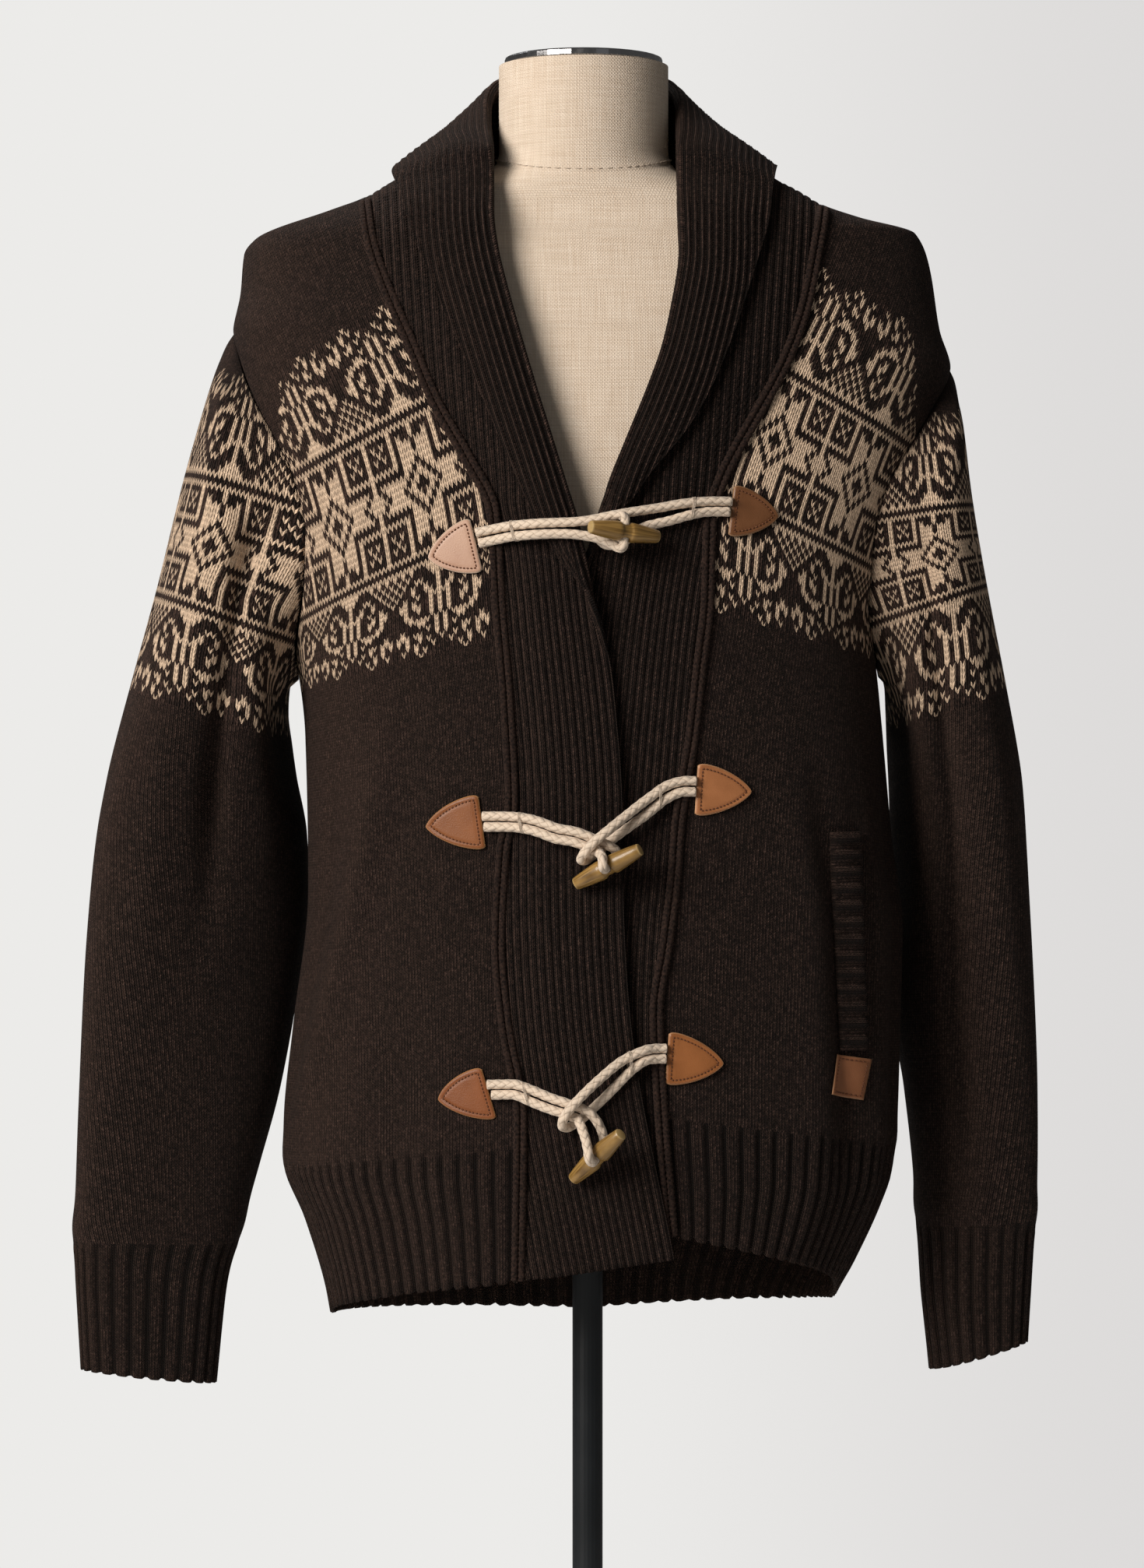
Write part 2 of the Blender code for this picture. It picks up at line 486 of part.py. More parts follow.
def sleeve_patch(side):
    """Both faces of a sleeve: rings from the armhole down to the cuff."""
    loop = armhole_loop(side)
    count = len(loop)
    low, high = loop.min(axis=0), loop.max(axis=0)
    centre, half = (low + high) / 2, (high - low) / 2
    seam_angle = np.arctan2((centre[1] - loop[:, 1]) / half[1], (loop[:, 2] - centre[2]) / half[2])
    seam_angle = np.unwrap(seam_angle)
    even = np.linspace(0, 2 * math.pi, count)
    rings = [loop, loop + np.array((side * 0.005, 0, -0.0015))]
    for number, row in enumerate(SLEEVES[side], 1):
        outer = np.array((row.outer_x, row.outer_y, row.outer_z))
        inner = np.array((row.inner_x, row.inner_y, row.inner_z))
        settle = float(ease(number / 4))
        angle = seam_angle + (even - seam_angle) * settle
        full = 1 + SLEEVE_SQUARE * np.sin(2 * angle) ** 2
        across, deep = (outer - inner) / 2, np.array((0.0, -row.half, 0.0))
        ring_points = ((outer + inner) / 2 + (np.cos(angle) * full)[:, None] * across
                       + (np.sin(angle) * full)[:, None] * deep)
        outwards = unit(ring_points - (outer + inner) / 2)
        for crease in CREASES[side]:
            off = np.angle(np.exp(1j * (angle - math.radians(crease.angle))))
            ends = float(ease(number - crease.first + 0.5) * ease((crease.last - number) / 2 + 0.5))
            lift = crease.rise * ends * np.exp(-(off / math.radians(crease.spread)) ** 2)
            ring_points = ring_points + lift[:, None] * outwards
        rings.append(ring_points)
    rings = np.array(rings)
    knots = np.append((0.0, 0.35), np.arange(1, len(rings) - 1))
    at = np.append((0.0, 0.35), np.linspace(1, len(rings) - 2, SLEEVE_ROWS - 1))
    grid = np.empty((len(at), count, 3))
    for column in range(count):
        for axis in range(3):
            grid[:, column, axis] = smooth(knots, rings[:, column, axis], at)
    grid[:, -1] = grid[:, 0]
    wrapped = np.concatenate((grid[:, -2:-1], grid, grid[:, 1:2]), axis=1)
    normals = grid_normals(wrapped)[:, 1:-1]
    middle = grid[:, :-1].mean(axis=1, keepdims=True)
    facing = np.sign(np.sum(normals[4:] * (grid - middle)[4:]))
    normals *= facing
    normals[:, -1] = normals[:, 0]
    return grid, grid - normals * WALL


# ---------------------------------------------------------------- making solids
COLLECTION = bpy.data.collections.get("cardigan") or bpy.data.collections.new("cardigan")


def start_scene():
    """An empty scene with the object's own collection."""
    for thing in list(bpy.data.objects):
        bpy.data.objects.remove(thing, do_unlink=True)
    if COLLECTION.name not in bpy.context.scene.collection.children:
        bpy.context.scene.collection.children.link(COLLECTION)


def material(name, colour, roughness, metallic=0.0):
    """A Principled material, from a linear colour."""
    made = bpy.data.materials.new(name)
    made.use_nodes = True
    shader = made.node_tree.nodes["Principled BSDF"]
    shader.inputs["Base Color"].default_value = (*colour, 1.0)
    shader.inputs["Roughness"].default_value = roughness
    shader.inputs["Metallic"].default_value = metallic
    return made


def place(name, mesh, finish):
    """The mesh as an object of the cardigan's collection."""
    thing = bpy.data.objects.new(name, mesh)
    mesh.materials.clear()
    mesh.materials.append(finish)
    COLLECTION.objects.link(thing)
    return thing


def cloth(name, patches, finish):
    """One closed body from patches of (front points, back points), joined where points meet."""
    front, behind, index, faces = [], [], {}, []

    def corner(point, back_point):
        key = tuple(np.round(point, 6))
        if key not in index:
            index[key] = len(front)
            front.append(point)
            behind.append(back_point)
        return index[key]

    for points, backs in patches:
        rows, columns = points.shape[:2]
        ids = [[corner(points[r, c], backs[r, c]) for c in range(columns)] for r in range(rows)]
        r, c = rows // 2, columns // 2
        normal = np.cross(points[r, c] - points[r, c - 1], points[r, c] - points[r - 1, c])
        turned = np.dot(normal, points[r, c] - backs[r, c]) < 0
        for r in range(rows - 1):
            for c in range(columns - 1):
                quad = [ids[r][c], ids[r][c + 1], ids[r + 1][c + 1], ids[r + 1][c]]
                loop = [v for i, v in enumerate(quad) if v != quad[i - 1]]
                if len(loop) > 2:
                    faces.append(loop[::-1] if turned else loop)
    count = len(front)
    sides = {(a, b) for loop in faces for a, b in zip(loop, loop[1:] + loop[:1])}
    rim = [(b, a, a + count, b + count) for a, b in sides if (b, a) not in sides]
    inside = [[v + count for v in reversed(loop)] for loop in faces]
    mesh = bpy.data.meshes.new(name)
    mesh.from_pydata([tuple(p) for p in front + behind], [], faces + inside + sorted(rim))
    mesh.validate()
    mesh.shade_smooth()
    mesh.set_sharp_from_angle(angle=math.radians(50))
    return place(name, mesh, finish)


# ---------------------------------------------------------------- the closures
Tab = namedtuple("Tab", "name side upper lower tip")
Toggle = namedtuple("Toggle", "name x z lift heading out upright")
Route = namedtuple("Route", "x z lift")
Hole = namedtuple("Hole", "along")

# each leather tab, as seen from the front: the ends of its straight edge, and its tip
TABS = (
    Tab("tab_top_right", RIGHT, (-0.0714, 1.0808), (-0.0634, 1.0479), (-0.0963, 1.0568)),
    Tab("tab_top_left", LEFT, (0.0880, 1.1010), (0.0842, 1.0695), (0.1148, 1.0822)),
    Tab("tab_middle_right", RIGHT, (-0.0662, 0.9139), (-0.0615, 0.8805), (-0.0977, 0.8941)),
    Tab("tab_middle_left", LEFT, (0.0659, 0.9327), (0.0640, 0.9007), (0.0983, 0.9153)),
    Tab("tab_bottom_right", RIGHT, (-0.0643, 0.7494), (-0.0549, 0.7179), (-0.0907, 0.7292)),
    Tab("tab_bottom_left", LEFT, (0.0485, 0.7710), (0.0461, 0.7386), (0.0814, 0.7512)),
)
TAB_THICKNESS = 0.0018

# the middle of each toggle, how far it stands off the body, which way its axis runs as seen from
# the front, how steeply the end on that side stands out towards the viewer, and whether its hole
# runs up and down the front or straight out from it
TOGGLES = (
    Toggle("toggle_top", 0.0206, 1.0688, 0.0220, 176.5, 27.0, True),
    Toggle("toggle_middle", 0.0113, 0.8706, 0.0175, 29.0, 20.6, False),
    Toggle("toggle_bottom", 0.0050, 0.6972, 0.0205, 45.8, 30.5, False),
)
TOGGLE_HALF = 0.0235
HOLE_RADIUS = 0.0033
CORD_RADIUS = 0.0029

# the braided cords: where each passes as seen from the front, and its height off the body in mm,
# or how many mm along a toggle's hole
TOGGLE_CORDS = {
    "toggle_cord_top": (
        Route(-0.0670, 1.0713, 3.4), Route(-0.0560, 1.0732, 4.9), Route(-0.0470, 1.0743, 8.2),
        Route(-0.0380, 1.0746, 11.8), Route(-0.0290, 1.0747, 15.0), Route(-0.0190, 1.0748, 16.6),
        Route(-0.0090, 1.0750, 17.4), Route(0.0000, 1.0759, 18.0), Route(0.0080, 1.0774, 18.5),
        Route(0.0150, 1.0800, 19.8), Route(0.0192, 1.0796, 21.4), Hole(-8.0), Hole(-5.0), Hole(5.0),
        Hole(8.0), Route(0.0184, 1.0580, 21.4), Route(0.0140, 1.0585, 19.8), Route(0.0080, 1.0612, 18.5),
        Route(0.0000, 1.0640, 18.0), Route(-0.0090, 1.0672, 17.4), Route(-0.0190, 1.0684, 16.2),
        Route(-0.0290, 1.0683, 15.0), Route(-0.0380, 1.0682, 11.8), Route(-0.0470, 1.0678, 8.2),
        Route(-0.0555, 1.0666, 4.9), Route(-0.0652, 1.0649, 3.4)),
    "toggle_cord_middle": (
        Route(-0.0630, 0.9006, 3.4), Route(-0.0530, 0.9007, 4.4), Route(-0.0440, 0.9004, 5.8),
        Route(-0.0350, 0.8992, 8.0), Route(-0.0272, 0.8970, 10.0), Route(-0.0180, 0.8936, 12.2),
        Route(-0.0070, 0.8915, 14.0), Route(0.0035, 0.8872, 14.4), Route(0.0080, 0.8852, 14.4),
        Route(0.0128, 0.8826, 14.0), Route(0.0160, 0.8803, 11.4), Route(0.0168, 0.8772, 8.8),
        Route(0.0158, 0.8740, 8.2), Hole(-6.5), Hole(-4.0), Hole(4.0), Hole(7.5),
        Route(0.0082, 0.8708, 27.9), Route(0.0080, 0.8742, 27.6), Route(0.0078, 0.8768, 24.0),
        Route(0.0066, 0.8786, 19.4), Route(0.0044, 0.8799, 16.0), Route(0.0009, 0.8815, 14.4),
        Route(-0.0085, 0.8854, 13.8), Route(-0.0195, 0.8874, 12.2), Route(-0.0285, 0.8908, 10.0),
        Route(-0.0360, 0.8929, 8.0), Route(-0.0440, 0.8940, 5.8), Route(-0.0530, 0.8942, 4.4),
        Route(-0.0620, 0.8941, 3.4)),
    "toggle_cord_bottom": (
        Route(-0.0602, 0.7389, 3.4), Route(-0.0510, 0.7392, 4.2), Route(-0.0425, 0.7391, 5.8),
        Route(-0.0318, 0.7355, 8.6), Route(-0.0214, 0.7314, 11.6), Route(-0.0130, 0.7288, 13.9),
        Route(-0.0080, 0.7269, 14.4), Route(-0.0035, 0.7252, 14.4), Route(0.0012, 0.7225, 14.3),
        Route(0.0052, 0.7175, 13.2), Route(0.0076, 0.7125, 11.4), Route(0.0090, 0.7075, 10.0),
        Route(0.0093, 0.7036, 10.4), Hole(-8.0), Hole(-4.5), Hole(4.5), Hole(8.0),
        Route(0.0006, 0.6960, 31.2), Route(0.0000, 0.6992, 31.6), Route(-0.0006, 0.7033, 29.6),
        Route(-0.0016, 0.7078, 26.0), Route(-0.0031, 0.7122, 21.4), Route(-0.0048, 0.7166, 17.6),
        Route(-0.0068, 0.7196, 15.2), Route(-0.0101, 0.7208, 14.4), Route(-0.0152, 0.7226, 13.6),
        Route(-0.0236, 0.7252, 11.6), Route(-0.0338, 0.7290, 8.6), Route(-0.0430, 0.7327, 5.8),
        Route(-0.0500, 0.7329, 4.2), Route(-0.0576, 0.7326, 3.4)),
}
LOOP_CORDS = {
    "loop_cord_top": (
        Route(0.0858, 1.0904, 3.4), Route(0.0708, 1.0899, 5.2), Route(0.0560, 1.0880, 7.4),
        Route(0.0424, 1.0852, 8.6), Route(0.0300, 1.0828, 10.8), Route(0.0205, 1.0810, 12.3),
        Route(0.0130, 1.0792, 12.3), Route(0.0075, 1.0762, 12.2), Route(0.0050, 1.0715, 12.0),
        Route(0.0062, 1.0662, 11.6), Route(0.0110, 1.0628, 10.6), Route(0.0180, 1.0633, 9.6),
        Route(0.0255, 1.0682, 9.0), Route(0.0325, 1.0733, 8.4), Route(0.0400, 1.0756, 7.8),
        Route(0.0481, 1.0776, 7.2), Route(0.0600, 1.0812, 6.4), Route(0.0708, 1.0836, 4.8),
        Route(0.0846, 1.0841, 3.4)),
    "loop_cord_middle": (
        Route(0.0644, 0.9219, 3.4), Route(0.0563, 0.9218, 3.6), Route(0.0468, 0.9190, 4.6),
        Route(0.0385, 0.9135, 6.5), Route(0.0301, 0.9074, 9.6), Route(0.0225, 0.9015, 13.6),
        Route(0.0158, 0.8962, 17.5), Route(0.0105, 0.8918, 20.2), Route(0.0055, 0.8876, 20.7),
        Route(0.0005, 0.8825, 20.6), Route(-0.0028, 0.8782, 18.6), Route(-0.0042, 0.8749, 14.5),
        Route(-0.0020, 0.8742, 10.4), Route(0.0025, 0.8770, 8.1), Route(0.0075, 0.8812, 7.9),
        Route(0.0130, 0.8858, 7.9), Route(0.0193, 0.8907, 7.9), Route(0.0265, 0.8960, 7.4),
        Route(0.0337, 0.9010, 6.0), Route(0.0405, 0.9065, 4.8), Route(0.0468, 0.9112, 4.0),
        Route(0.0551, 0.9150, 3.6), Route(0.0640, 0.9153, 3.4)),
    "loop_cord_bottom": (
        Route(0.0466, 0.7607, 3.4), Route(0.0420, 0.7608, 4.0), Route(0.0380, 0.7606, 5.6),
        Route(0.0323, 0.7595, 8.2), Route(0.0216, 0.7547, 10.0), Route(0.0150, 0.7503, 12.5),
        Route(0.0087, 0.7450, 15.0), Route(0.0020, 0.7390, 18.0), Route(-0.0045, 0.7325, 20.3),
        Route(-0.0090, 0.7275, 20.7), Route(-0.0128, 0.7225, 20.3), Route(-0.0150, 0.7178, 18.0),
        Route(-0.0148, 0.7145, 14.2), Route(-0.0118, 0.7140, 10.2), Route(-0.0070, 0.7165, 8.1),
        Route(-0.0020, 0.7205, 7.9), Route(0.0040, 0.7262, 7.9), Route(0.0130, 0.7350, 7.9),
        Route(0.0237, 0.7462, 7.9), Route(0.0300, 0.7514, 7.9), Route(0.0350, 0.7540, 6.6),
        Route(0.0400, 0.7545, 4.6), Route(0.0462, 0.7545, 3.4)),
}


def sewn_on(name, rows, columns, shape, thickness, finish):
    """A flat piece sewn on the front: shape maps shares of its length and width to a place."""
    places = np.array([[shape(u, v) for v in np.linspace(-1, 1, columns + 1)]
                       for u in np.linspace(0, 1, rows + 1)])
    x, z = places[..., 0], places[..., 1]
    return cloth(name, [(on_front(x, z, REST_GAP + thickness), on_front(x, z, REST_GAP))], finish)


def add_tab(tab, finish):
    """A leather tab: a straight edge towards the middle, and two curved ones to a rounded tip."""
    upper, lower, tip = (np.array(at) for at in (tab.upper, tab.lower, tab.tip))
    base = (upper + lower) / 2

    def shape(u, v):
        share = math.sin(u * math.pi / 2)
        corner = 1 - 0.10 * math.exp(-share / 0.05)
        width = math.sqrt(max(0.0, 1 - share ** 1.9)) * corner
        return base + (tip - base) * share + (upper - lower) / 2 * width * v

    return sewn_on(tab.name, 6, 4, shape, TAB_THICKNESS, finish)


def add_strip(name, start, end, start_half, end_half, rows, thickness, finish):
    """A four-sided strip sewn on, from one short side's middle to the other's."""
    start, end, start_half, end_half = (np.array(at) for at in (start, end, start_half, end_half))

    def shape(u, v):
        return start + (end - start) * u + (start_half + (end_half - start_half) * u) * v

    return sewn_on(name, rows, 4, shape, thickness, finish)


def toggle_frame(toggle):
    """A toggle's middle, and its side, hole and axis directions."""
    middle = on_front(toggle.x, toggle.z, toggle.lift)
    out = outward(ring, front_turn(toggle.x, toggle.z), toggle.z)
    heading, steep = math.radians(toggle.heading), math.radians(toggle.out)
    flat = np.array((math.cos(heading), 0.0, math.sin(heading)))
    flat = unit(flat - out * np.dot(flat, out))
    axis = flat * math.cos(steep) + out * math.sin(steep)
    if toggle.upright:
        hole = unit(np.cross(axis, out))
        hole = hole * -np.sign(hole[2])
    else:
        hole = out * math.cos(steep) - flat * math.sin(steep)
    return middle, np.cross(hole, axis), hole, axis


def add_cord(name, route, toggle, finish):
    """A braided cord along a smooth curve through its route."""
    middle, side, hole, axis = toggle_frame(toggle)
    through = np.array([middle + hole * p.along / 1000 if isinstance(p, Hole)
                        else on_front(p.x, p.z, p.lift / 1000) for p in route])
    points = []
    padded = np.concatenate((2 * through[:1] - through[1:2], through, 2 * through[-1:] - through[-2:-1]))
    for before, start, end, after in zip(padded, padded[1:], padded[2:], padded[3:]):
        for u in (0.0, 0.5):
            points.append(0.5 * (2 * start + (end - before) * u
                                 + (2 * before - 5 * start + 4 * end - after) * u ** 2
                                 + (3 * start - before - 3 * end + after) * u ** 3))
    points.append(through[-1])
    curve = bpy.data.curves.new(name, "CURVE")
    curve.dimensions = "3D"
    curve.bevel_depth = CORD_RADIUS
    curve.bevel_resolution = 2
    curve.use_fill_caps = True
    spline = curve.splines.new("POLY")
    spline.points.add(len(points) - 1)
    for point, place in zip(spline.points, points):
        point.co = (*place, 1.0)
    curve.materials.append(finish)
    thing = bpy.data.objects.new(name, curve)
    COLLECTION.objects.link(thing)
    return thing


def add_toggle(toggle, cutters, finish):
    """A turned toggle: two tapered ends, a groove round its middle and a hole through the groove."""
    middle, side, hole, axis = toggle_frame(toggle)
    turned = Matrix([(*row, 0.0) for row in np.stack((side, hole, axis), axis=1)] + [(0, 0, 0, 1)])
    turned.translation = Vector(middle)
    profile = [(0.0, TOGGLE_HALF), (0.0031, TOGGLE_HALF), (0.0037, TOGGLE_HALF - 0.0006),
               (0.0052, 0.0130), (0.0060, 0.0060), (0.0060, 0.0036), (0.0050, 0.0026),
               (0.0050, -0.0026), (0.0060, -0.0036), (0.0060, -0.0060), (0.0052, -0.0130),
               (0.0037, -TOGGLE_HALF + 0.0006), (0.0031, -TOGGLE_HALF), (0.0, -TOGGLE_HALF)]
    mesh = bpy.data.meshes.new(toggle.name)
    edges = [(i, i + 1) for i in range(len(profile) - 1)]
    mesh.from_pydata([(radius, 0.0, z) for radius, z in profile], edges, [])
    thing = place(toggle.name, mesh, finish)
    screw = thing.modifiers.new("turned", "SCREW")
    screw.steps = screw.render_steps = 14
    screw.use_merge_vertices = True
    screw.merge_threshold = 0.00005
    thing.matrix_world = turned
    cut = bmesh.new()
    bmesh.ops.create_cone(cut, cap_ends=True, segments=12, radius1=HOLE_RADIUS, radius2=HOLE_RADIUS,
                          depth=0.02, matrix=Matrix.Rotation(math.pi / 2, 4, "X"))
    drill_mesh = bpy.data.meshes.new(toggle.name + "_drill")
    cut.to_mesh(drill_mesh)
    cut.free()
    drill = bpy.data.objects.new(toggle.name + "_drill", drill_mesh)
    drill.matrix_world = turned
    drill.hide_render = True
    drill.display_type = "WIRE"
    cutters.objects.link(drill)
    bore = thing.modifiers.new("hole", "BOOLEAN")
    bore.operation = "DIFFERENCE"
    bore.solver = "EXACT"
    bore.object = drill
    return thing


# ---------------------------------------------------------------- the dress form and its stand
Form = namedtuple("Form", "height half front back worn")

# the form from its base to its neck: half its width, its depths in front and behind, and whether
# the cardigan hangs on it there, so that its width is the cardigan's inside
FORM = (Form(0.660, 0.128, 0.082, 0.086, 0), Form(0.672, 0.146, 0.096, 0.096, 0),
        Form(0.700, 0.161, 0.108, 0.101, 0), Form(0.780, 0.162, 0.110, 0.100, 0),
        Form(0.860, 0.152, 0.104, 0.095, 0), Form(0.950, 0.152, 0.108, 0.096, 0),
        Form(1.050, 0.162, 0.115, 0.106, 0), Form(1.110, 0.172, 0.111, 0.110, 0),
        Form(1.160, 0.185, 0.102, 0.108, 0), Form(1.200, 0.196, 0.091, 0.101, 0),
        Form(1.232, 0.2020, 0.080, 0.093, 0), Form(1.249, 0.2015, 0.071, 0.087, 0),
        Form(1.2600, 0.1960, 0.062, 0.081, 0), Form(1.2705, 0, 0.0580, 0.077, 1),
        Form(1.2750, 0, 0.0565, 0.075, 1), Form(1.2795, 0, 0.0550, 0.073, 1),
        Form(1.2835, 0, 0.0545, 0.0705, 1), Form(1.2920, 0.098, 0.0550, 0.070, 0),
        Form(1.2990, 0.070, 0.0538, 0.060, 0), Form(1.306, 0.0575, 0.0532, 0.0550, 0),
        Form(1.316, 0.0533, 0.0530, 0.0530, 0), Form(1.371, 0.0533, 0.0530, 0.0530, 0))
FORM_REST = 0.0004       # between the cloth and the ridge of the form's shoulders it hangs from
FORM_COLUMNS = 28
CAP_RADIUS, CAP_THICKNESS = 0.0497, 0.0049
POLE_RADIUS = 0.0095
BASE_RADIUS, BASE_THICKNESS = 0.17, 0.008


def add_form(finish):
    """The limbless torso and its neck, one closed body."""
    rows = []
    for level in FORM:
        near_neck = float(ease((level.height - 1.20) / 0.10))
        turn = np.linspace(0, 2 * math.pi, FORM_COLUMNS, endpoint=False)
        full = 1 + SQUARE * (1 - near_neck) * np.sin(2 * turn) ** 2
        depth = np.where(np.cos(turn) > 0, level.front, level.back)
        x = NECK_X * near_neck + level.half * np.sin(turn) * full
        z = np.full_like(turn, level.height)
        if level.worn:
            right, left = body(np.array((-1, 1)) * math.pi / 2, level.height, -WALL - FORM_REST)
            x = np.sin(turn) * np.where(turn > math.pi, -right[0], left[0])
            depth = depth * (1 - 0.5 * np.sin(turn) ** 12)
            z = right[2] + (left[2] - right[2]) * (1 + np.sin(turn)) / 2
        rows.append(np.stack((x, -depth * np.cos(turn) * full, z), axis=-1))
    count, points = FORM_COLUMNS, np.concatenate(rows)
    faces = [tuple(range(count))[::-1]]
    for r in range(len(rows) - 1):
        for c in range(count):
            d = (c + 1) % count
            faces.append((r * count + c, r * count + d, (r + 1) * count + d, (r + 1) * count + c))
    faces.append(tuple(range(len(points) - count, len(points))))
    mesh = bpy.data.meshes.new("form_torso")
    mesh.from_pydata([tuple(p) for p in points], [], faces)
    mesh.validate()
    mesh.shade_smooth()
    mesh.set_sharp_from_angle(angle=math.radians(50))
    return place("form_torso", mesh, finish)


def add_disc(name, radius, low, high, x, finish, bevel=0.001, segments=40):
    """A round plate or bar with softened edges."""
    made = bmesh.new()
    bmesh.ops.create_cone(made, cap_ends=True, segments=segments, radius1=radius, radius2=radius,
                          depth=high - low, matrix=Matrix.Translation((x, 0, (low + high) / 2)))
    mesh = bpy.data.meshes.new(name)
    made.to_mesh(mesh)
    made.free()
    mesh.shade_smooth()
    mesh.set_sharp_from_angle(angle=math.radians(50))
    thing = place(name, mesh, finish)
    if bevel:
        soft = thing.modifiers.new("edge", "BEVEL")
        soft.width = bevel
        soft.segments = 2
        soft.limit_method = "ANGLE"
    return thing


# ---------------------------------------------------------------- the whole object
start_scene()
CUTTERS = bpy.data.collections.new("cutters")
bpy.context.scene.collection.children.link(CUTTERS)

knit = material("wool_knit", (0.030, 0.021, 0.016), 0.9)
leather = material("tan_leather", (0.45, 0.20, 0.09), 0.5)
horn = material("horn_toggle", (0.28, 0.17, 0.06), 0.25)
cotton = material("cotton_cord", (0.68, 0.58, 0.44), 0.85)
linen = material("linen_cover", (0.68, 0.60, 0.47), 0.9)
metal = material("cap_metal", (0.35, 0.35, 0.35), 0.3, 1.0)
paint = material("black_paint", (0.012, 0.012, 0.013), 0.35, 0.0)

for name, first, last in BACK_PARTS:
    cloth(name, [section(panel_patch(side, True), first, last) for side in (RIGHT, LEFT)], knit)
for side, word in ((RIGHT, "right"), (LEFT, "left")):
    cloth("front_" + word, [panel_patch(side, False)], knit)
    for name, first, last in SLEEVE_PARTS:
        cloth(name + word, [section(sleeve_patch(side), first, last)], knit)
    cloth("collar_" + word, [collar_patch(side)], knit)
add_strip("pocket_welt_left", (0.1637, 0.8906), (0.1670, 0.7571), (-0.0082, 0), (-0.0063, 0), 8,
          0.0030, knit)
add_strip("patch_left", (0.1668, 0.7523), (0.1615, 0.7278), (-0.0094, 0.0019), (-0.0104, 0.0024), 2,
          0.0015, leather)
for tab in TABS:
    add_tab(tab, leather)
for toggle in TOGGLES:
    add_toggle(toggle, CUTTERS, horn)
for toggle, worn, loop in zip(TOGGLES, TOGGLE_CORDS.items(), LOOP_CORDS.items()):
    add_cord(*worn, toggle, cotton)
    add_cord(*loop, toggle, cotton)
add_form(linen)
FORM_TOP, FORM_BASE = FORM[-1].height, FORM[0].height
add_disc("neck_cap", CAP_RADIUS, FORM_TOP + SEAM_GAP, FORM_TOP + SEAM_GAP + CAP_THICKNESS, NECK_X,
         metal)
add_disc("pole", POLE_RADIUS, BASE_THICKNESS + SEAM_GAP, FORM_BASE - SEAM_GAP, 0.0, paint, 0.0, 24)
add_disc("base", BASE_RADIUS, 0.0, BASE_THICKNESS, 0.0, paint, 0.0015, 48)
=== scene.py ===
"""A shawl-collared cardigan in heathered wool, buttoned with cords and toggles, on a dress form.

Metres, +Z up. The origin is on the floor, under the middle of the stand's pole. The cardigan
faces -Y, and +X is its wearer's left. It is made in the order a maker would put it together: the
knitted body, sleeves, band and collar, then what is sewn on, the closures, the form and its stand.
"""

import math
from collections import namedtuple

import bmesh
import bpy
import numpy as np
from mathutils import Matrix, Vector


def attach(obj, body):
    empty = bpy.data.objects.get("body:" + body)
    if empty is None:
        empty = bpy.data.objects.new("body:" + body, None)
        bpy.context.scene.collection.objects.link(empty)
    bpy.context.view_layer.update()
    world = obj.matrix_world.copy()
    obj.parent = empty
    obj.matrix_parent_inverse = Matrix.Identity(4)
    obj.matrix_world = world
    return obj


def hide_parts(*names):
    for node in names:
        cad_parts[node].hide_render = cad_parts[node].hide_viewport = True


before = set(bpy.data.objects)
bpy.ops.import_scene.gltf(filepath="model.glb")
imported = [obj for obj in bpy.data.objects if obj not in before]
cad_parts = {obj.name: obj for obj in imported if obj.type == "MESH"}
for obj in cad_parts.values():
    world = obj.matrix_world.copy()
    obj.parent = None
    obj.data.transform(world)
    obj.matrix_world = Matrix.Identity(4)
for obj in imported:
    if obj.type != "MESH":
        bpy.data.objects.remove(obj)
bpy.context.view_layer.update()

# ---------------------------------------------------------------- the studio
# A disc of pale matt paper under the form, before a background as pale, soft light from the upper
# left in front and a dimmer fill from the right. The camera is level with the chest, three metres
# away.


def linear(colour):
    """An sRGB hex colour as linear red, green, blue and alpha."""
    parts = [int(colour[i:i + 2], 16) / 255 for i in (1, 3, 5)]
    parts = [p / 12.92 if p <= 0.04045 else ((p + 0.055) / 1.055) ** 2.4 for p in parts]
    return (*parts, 1.0)


def feed(node, links):
    """Gives a node's inputs, by name or in turn, their values or what feeds them."""
    for name, value in links.items() if isinstance(links, dict) else enumerate(links):
        if isinstance(value, bpy.types.Node):
            value = next(out for out in value.outputs if out.enabled)
        if isinstance(value, bpy.types.NodeSocket):
            node.id_data.links.new(value, node.inputs[name])
        else:
            node.inputs[name].default_value = value


def add(tree, kind, links=(), operation=None, **settings):
    """Adds a shader node with its operation and settings, and feeds its inputs."""
    made = tree.nodes.new("ShaderNode" + kind)
    if operation:
        made.operation = operation
    for name, value in settings.items():
        setattr(made, name, value)
    feed(made, links)
    return made


def material(name):
    """A new material with its node tree and its shader."""
    made = bpy.data.materials.new(name)
    made.use_nodes = True
    return made, made.node_tree, made.node_tree.nodes["Principled BSDF"]


def table(kind, *rows):
    """A table's rows, under the names of its columns."""
    return tuple(kind(*row) for row in rows)


Lamp = namedtuple("Lamp", "name place aim size power colour")
LAMPS = table(Lamp,
    ("key", (-2.5, -2.7, 2.4), (0.0, 0.0, 1.0), 2.2, 168.0, "#fff8f0"),
    ("fill", (1.6, -3.2, 1.5), (0.0, 0.0, 0.9), 1.8, 0.9, "#f6f8ff"),
    ("crown", (-1.2, 1.2, 3.2), (0.0, 0.0, 1.0), 1.6, 26.0, "#ffffff"))

